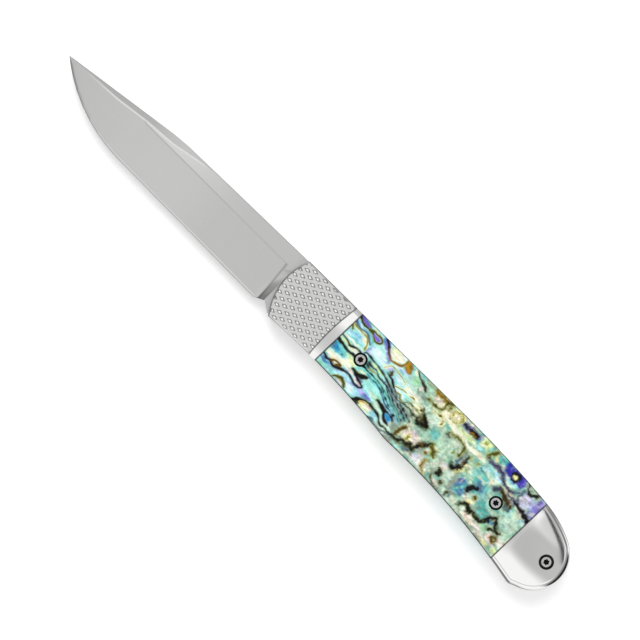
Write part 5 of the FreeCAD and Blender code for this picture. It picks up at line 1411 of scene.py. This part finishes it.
def shell_plate(name, node, outer_z, inner_z, paint, sizes):
    """Scale: a painted grid, sunk at its screws, and hollow below a skin."""
    way = 1 if outer_z > inner_z else -1
    grid, start, end = plate_grid(node, outer_z, inner_z, sizes)
    points = grid.reshape(-1, 3)
    index = np.arange(len(points)).reshape(grid.shape[:2])
    faces, wells = open_wells(points, grid_faces(index), sizes.sink_radius)
    total = len(points)
    extra, black = [], []
    for place, edge in wells:
        top, bottom = points[edge].copy(), points[edge].copy()
        top[:, 2] -= way * WELL_LIP
        bottom[:, 2] = outer_z - way * sizes.sink_depth
        extra += [top, bottom, np.array([[*place, outer_z - way * sizes.sink_depth]])]
        size = len(edge)
        upper = total + np.arange(size)
        lower = upper + size
        hub = np.full(size, total + 2 * size)
        faces += band(edge, upper) + band(upper, lower)
        faces += np.stack([lower, hub, np.roll(lower, -1)], -1)[:, ::-1].tolist()
        black += range(total, total + 2 * size + 1)
        total += 2 * size + 1
    loop = np.concatenate([index[:, 0], index[-1, 1:], index[-2::-1, -1], index[0, -2:0:-1]])
    border = points[loop]
    core = np.array([(start + end) / 2, border[:, 1].mean(), inner_z])
    shrink = 1 - HOLLOW_INSET / np.array([end - start, np.ptp(border[:, 1]), 1.0])
    ring = core + (border - core) * shrink
    ring[:, 2] = inner_z
    roof = ring.copy()
    roof[:, 2] = outer_z - way * sizes.skin
    ring_index = total + np.arange(len(loop))
    roof_index = ring_index + len(loop)
    faces += band(loop, ring_index) + band(ring_index, roof_index) + [roof_index.tolist()]
    points = np.concatenate([points] + extra + [ring, roof])
    if way < 0:
        faces = [face[::-1] for face in faces]
    piece = finish_mesh(name, points, faces, shell_finish(name))
    colours = plate_colours(points, outer_z, start, end, paint, sizes)
    # Painted shade: the counterbore walls and floor round each screw black.
    colours[black, :3] = shade("ink") * 0.3
    layer = piece.data.color_attributes.new("layers", "FLOAT_COLOR", "POINT")
    layer.data.foreach_set("color", colours.astype(np.float32).ravel())
    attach(piece, "handle")
    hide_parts(node)
    return piece


class KNIFE_OT_shell_scales(bpy.types.Operator):
    """Lay the shell scales on both sides of the handle"""

    bl_idname = "knife.shell_scales"
    bl_label = "Shell scales"

    def execute(self, context):
        sizes = context.scene.knife_shell
        low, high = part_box("front_scale")
        front = partial(paint_shell, seed=FRONT_SEED)
        shell_plate("shell_front", "front_scale", high.z / MM, low.z / MM, front, sizes)
        low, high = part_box("rear_scale")
        shell_plate("shell_rear", "rear_scale", low.z / MM, high.z / MM, paint_rear, sizes)
        return {"FINISHED"}


class KNIFE_OT_ground_blade(bpy.types.Operator):
    """Finish the blade"""

    bl_idname = "knife.ground_blade"
    bl_label = "Ground blade"

    def execute(self, context):
        steel = context.scene.knife_steel
        dress("blade", blade_steel("satin_blade", steel.blade))
        return {"FINISHED"}


class KNIFE_OT_knurled_bolsters(bpy.types.Operator):
    """Finish the knurled bolsters"""

    bl_idname = "knife.knurled_bolsters"
    bl_label = "Knurled bolsters"

    def execute(self, context):
        colour = context.scene.knife_steel.knurl
        columns = np.linspace(-6.0, 5.0, 12)
        edges = [np.polyfit(columns, line, 1) for line in spans("release_bolster", 0.0, columns)]
        seam = np.hypot(*(places("release_bolster")[:, :2] - REAR_SCREW).T).min()
        front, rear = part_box("release_bolster")[1].z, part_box("rear_bolster")[0].z
        dress("release_bolster", knurled_steel("knurl_front", colour, front, 1, edges, seam))
        dress("rear_bolster", knurled_steel("knurl_rear", colour, rear, -1, edges, seam))
        return {"FINISHED"}


class KNIFE_OT_polished_caps(bpy.types.Operator):
    """Finish the collars and butt caps"""

    bl_idname = "knife.polished_caps"
    bl_label = "Polished collars and caps"

    def execute(self, context):
        colour = context.scene.knife_steel.polish
        low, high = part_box("front_collar")
        limits = (low.y + 0.0008, high.y - 0.0015)
        collar = polished_steel("collar_steel", colour, 0.029, 0.0015, 1.0, limits, 0.005)
        low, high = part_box("front_butt_cap")
        cap = polished_steel("cap_steel", colour, 0.036, 0.0006, low.x + 0.0012, (low.y, high.y), 1.0)
        for node in ("front_collar", "rear_collar"):
            dress(node, collar)
        for node in ("front_butt_cap", "rear_butt_cap"):
            dress(node, cap)
        return {"FINISHED"}


class KNIFE_OT_works(bpy.types.Operator):
    """Finish the liners, springs, washers, pins and screws"""

    bl_idname = "knife.works"
    bl_label = "Liners, springs and screws"

    def execute(self, context):
        steel = context.scene.knife_steel
        liner = satin_steel("liner_steel", steel.liner, 0.3, (0.05, 1.0, 1.0))
        pins = satin_steel("pin_steel", steel.screw, 0.28, (1.0, 1.0, 0.1))
        spring = satin_steel("spring_steel", steel.spring, 0.3, (0.1, 1.0, 1.0))
        bronze = satin_steel("washer_bronze", steel.bronze, 0.32, (1.0, 1.0, 1.0))
        groups = {
            liner: ["front_liner", "rear_liner", "back_spacer"],
            spring: ["kick_spring", "lock_spring", "release_arm"],
            bronze: ["front_washer", "rear_washer"],
            pins: [
                "arm_bush", "butt_barrel", "cap_pins", "collar_pins", "lock_spring_bush", "pivot_barrel",
                "pivot_screw", "rear_bolster_pins", "release_rivets", "spacer_pins", "stop_pin",
            ],
        }
        for material, nodes in groups.items():
            for node in nodes:
                dress(node, material)
        top = screw_steel("screw_front", steel.screw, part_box("front_scale_screws")[1].z, 1)
        bottom = screw_steel("screw_rear", steel.screw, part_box("rear_scale_screws")[0].z, -1)
        for node in ("front_scale_screws", "front_butt_screw"):
            dress(node, top)
        for node in ("rear_scale_screws", "rear_butt_screw"):
            dress(node, bottom)
        return {"FINISHED"}


# Cards of the tent: where they hang, the angle where they are full and where they end, and their level.
CARDS = [
    ((0, -0.06, 1), 7, 23, 0.64),
    ((0.3, -0.06, 0.95), 10, 20, 0.52),
    ((0.55, 0.02, 0.83), 9, 20, 0.55),
    ((0.27, 0.33, 0.9), 4, 11, 0.7),
    ((0, 0.75, 0.66), 20, 29, 0.63),
    ((-0.2, 0.97, 0.15), 20, 32, 0.55),
    ((0.45, 0.88, 0.1), 16, 30, 0.25),
    ((0.97, 0.1, 0.1), 30, 46, 0.3),
    ((0.94, 0.1, -0.33), 26, 36, 0.02),
    ((-0.5, -0.55, 0.67), 11, 20, 0.3),
    ((-0.6, -0.05, 0.8), 12, 22, 0.35),
    ((-0.75, -0.6, 0.1), 16, 28, 0.2),
    ((-0.8, -0.05, 0.6), 14, 28, 0.35),
    ((-0.95, 0, 0.1), 20, 34, 0.15),
]


class KNIFE_OT_studio(bpy.types.Operator):
    """Set up the pale floor, the soft light and the camera"""

    bl_idname = "knife.studio"
    bl_label = "Studio"

    def execute(self, context):
        studio = context.scene.knife_studio
        scene = context.scene
        scene.view_settings.view_transform = "Standard"
        self.lay_floor()
        self.light_sky(scene, studio)
        self.hang_lamp(scene, studio)
        self.place_camera(scene, studio)
        return {"FINISHED"}

    def lay_floor(self):
        """Flat pale floor just under the knife."""
        side = np.linspace(-FLOOR_HALF, FLOOR_HALF, FLOOR_CELLS + 1) / MM
        x, y = np.meshgrid(side, side, indexing="ij")
        points = np.stack([x, y, np.full_like(x, -FLOOR_DROP)], -1).reshape(-1, 3)
        quads = grid_faces(np.arange(x.size).reshape(x.shape))
        finish = Finish("floor_white")
        grain = finish.noise(40, 2.0)
        material = finish.set(
            Base_Color=finish.blend(grain, (0.93, 0.93, 0.93), (0.95, 0.95, 0.95)),
            Roughness=0.9,
            Specular_IOR_Level=0.1,
            Emission_Color=(1.0, 1.0, 1.0),
            Emission_Strength=0.34,
        )
        floor = finish_mesh("floor", points, quads.tolist(), material)
        floor.visible_glossy = False

    def light_sky(self, scene, studio):
        """White tent with a grey top and dark cards, which the steel reflects; plain white to the camera."""
        scene.world = bpy.data.worlds.new("studio")
        sky = Shader(scene.world)
        way = sky.add("ShaderNodeTexCoord", {}, {}, "Generated")
        level = studio.sky
        for aim, near, far, shade_level in CARDS:
            aim = tuple(np.array(aim) / np.linalg.norm(aim))
            toward = sky.add("ShaderNodeVectorMath", {"operation": "DOT_PRODUCT"}, {0: way, 1: aim}, "Value")
            card = toward.between(math.cos(math.radians(far)), math.cos(math.radians(near)))
            level = sky.mix(card, level, shade_level)
        side, back_way, height = (sky.add("ShaderNodeSeparateXYZ", {}, {0: way}, axis) for axis in range(3))
        ring = height.between(0.884, 0.889) * (1 - height.between(0.902, 0.907))
        ring = ring * back_way.between(0.02, 0.12) * side.between(0.0, 0.05)
        level = sky.mix(ring, level, 0.03)
        bank = (1 - height.between(0.872, 0.885)) * height.between(0.6, 0.7) * back_way.between(0.3, 0.42)
        level = sky.mix(bank * side.between(0.0, 0.05), level, 0.5)
        rail = height.between(0.38, 0.42) * (1 - height.between(0.55, 0.59))
        level = sky.mix(rail * (1 - back_way.between(-0.5, -0.3)), level, 0.45)
        below = 1 - height.between(-0.35, -0.1)
        level = sky.mix(below * (1 - side.between(0.2, 0.5)), level, 0.22)
        seen = sky.add("ShaderNodeLightPath", {}, {}, "Is Camera Ray")
        back = sky.tree.nodes["Background"]
        sky.put(back.inputs["Color"], (1.0, 1.0, 1.0))
        sky.put(back.inputs["Strength"], sky.mix(seen, level, 1.0))

    def hang_lamp(self, scene, studio):
        """Large soft lamp on the spine side."""
        data = bpy.data.lights.new("soft_key", "AREA")
        data.shape = "RECTANGLE"
        data.size = 0.5
        data.size_y = 0.35
        data.energy = studio.key
        lamp = bpy.data.objects.new("soft_key", data)
        x, y, z = lamp.location = LAMP_PLACE
        lamp.rotation_euler = (-math.atan2(y, z), math.atan2(x, z), 0)
        lamp.visible_glossy = False
        scene.collection.objects.link(lamp)

    def place_camera(self, scene, studio):
        """Long lens straight above the knife, rolled so that the tip is at the upper left."""
        data = bpy.data.cameras.new("overhead")
        data.lens = studio.lens
        data.sensor_width = 36.0
        data.clip_end = 100
        camera = bpy.data.objects.new("overhead", data)
        away = studio.view_width * studio.lens / data.sensor_width
        camera.location = (studio.view_x, studio.view_y, SHOW_FACE + away)
        camera.rotation_euler = (0, 0, studio.view_roll)
        scene.collection.objects.link(camera)
        scene.camera = camera


OPERATORS = (
    KNIFE_OT_shell_scales,
    KNIFE_OT_ground_blade,
    KNIFE_OT_knurled_bolsters,
    KNIFE_OT_polished_caps,
    KNIFE_OT_works,
    KNIFE_OT_studio,
)


class KNIFE_PT_panel(bpy.types.Panel):
    """The knife's pieces and their sizes"""

    bl_label = "Folding pocket knife"
    bl_space_type = "VIEW_3D"
    bl_region_type = "UI"
    bl_category = "Knife"

    def draw(self, context):
        for operator in OPERATORS:
            self.layout.operator(operator.bl_idname)
        for group in (context.scene.knife_shell, context.scene.knife_steel, context.scene.knife_studio):
            box = self.layout.box()
            for name in group.__annotations__:
                box.prop(group, name)


CLASSES = (KnifeShell, KnifeSteel, KnifeStudio) + OPERATORS + (KNIFE_PT_panel,)


def register():
    for item in CLASSES:
        bpy.utils.register_class(item)
    bpy.types.Scene.knife_shell = PointerProperty(type=KnifeShell)
    bpy.types.Scene.knife_steel = PointerProperty(type=KnifeSteel)
    bpy.types.Scene.knife_studio = PointerProperty(type=KnifeStudio)


def unregister():
    del bpy.types.Scene.knife_studio
    del bpy.types.Scene.knife_steel
    del bpy.types.Scene.knife_shell
    for item in reversed(CLASSES):
        bpy.utils.unregister_class(item)


def main():
    register()
    bpy.ops.knife.shell_scales()
    bpy.ops.knife.ground_blade()
    bpy.ops.knife.knurled_bolsters()
    bpy.ops.knife.polished_caps()
    bpy.ops.knife.works()
    bpy.ops.knife.studio()


if __name__ == "__main__":
    main()
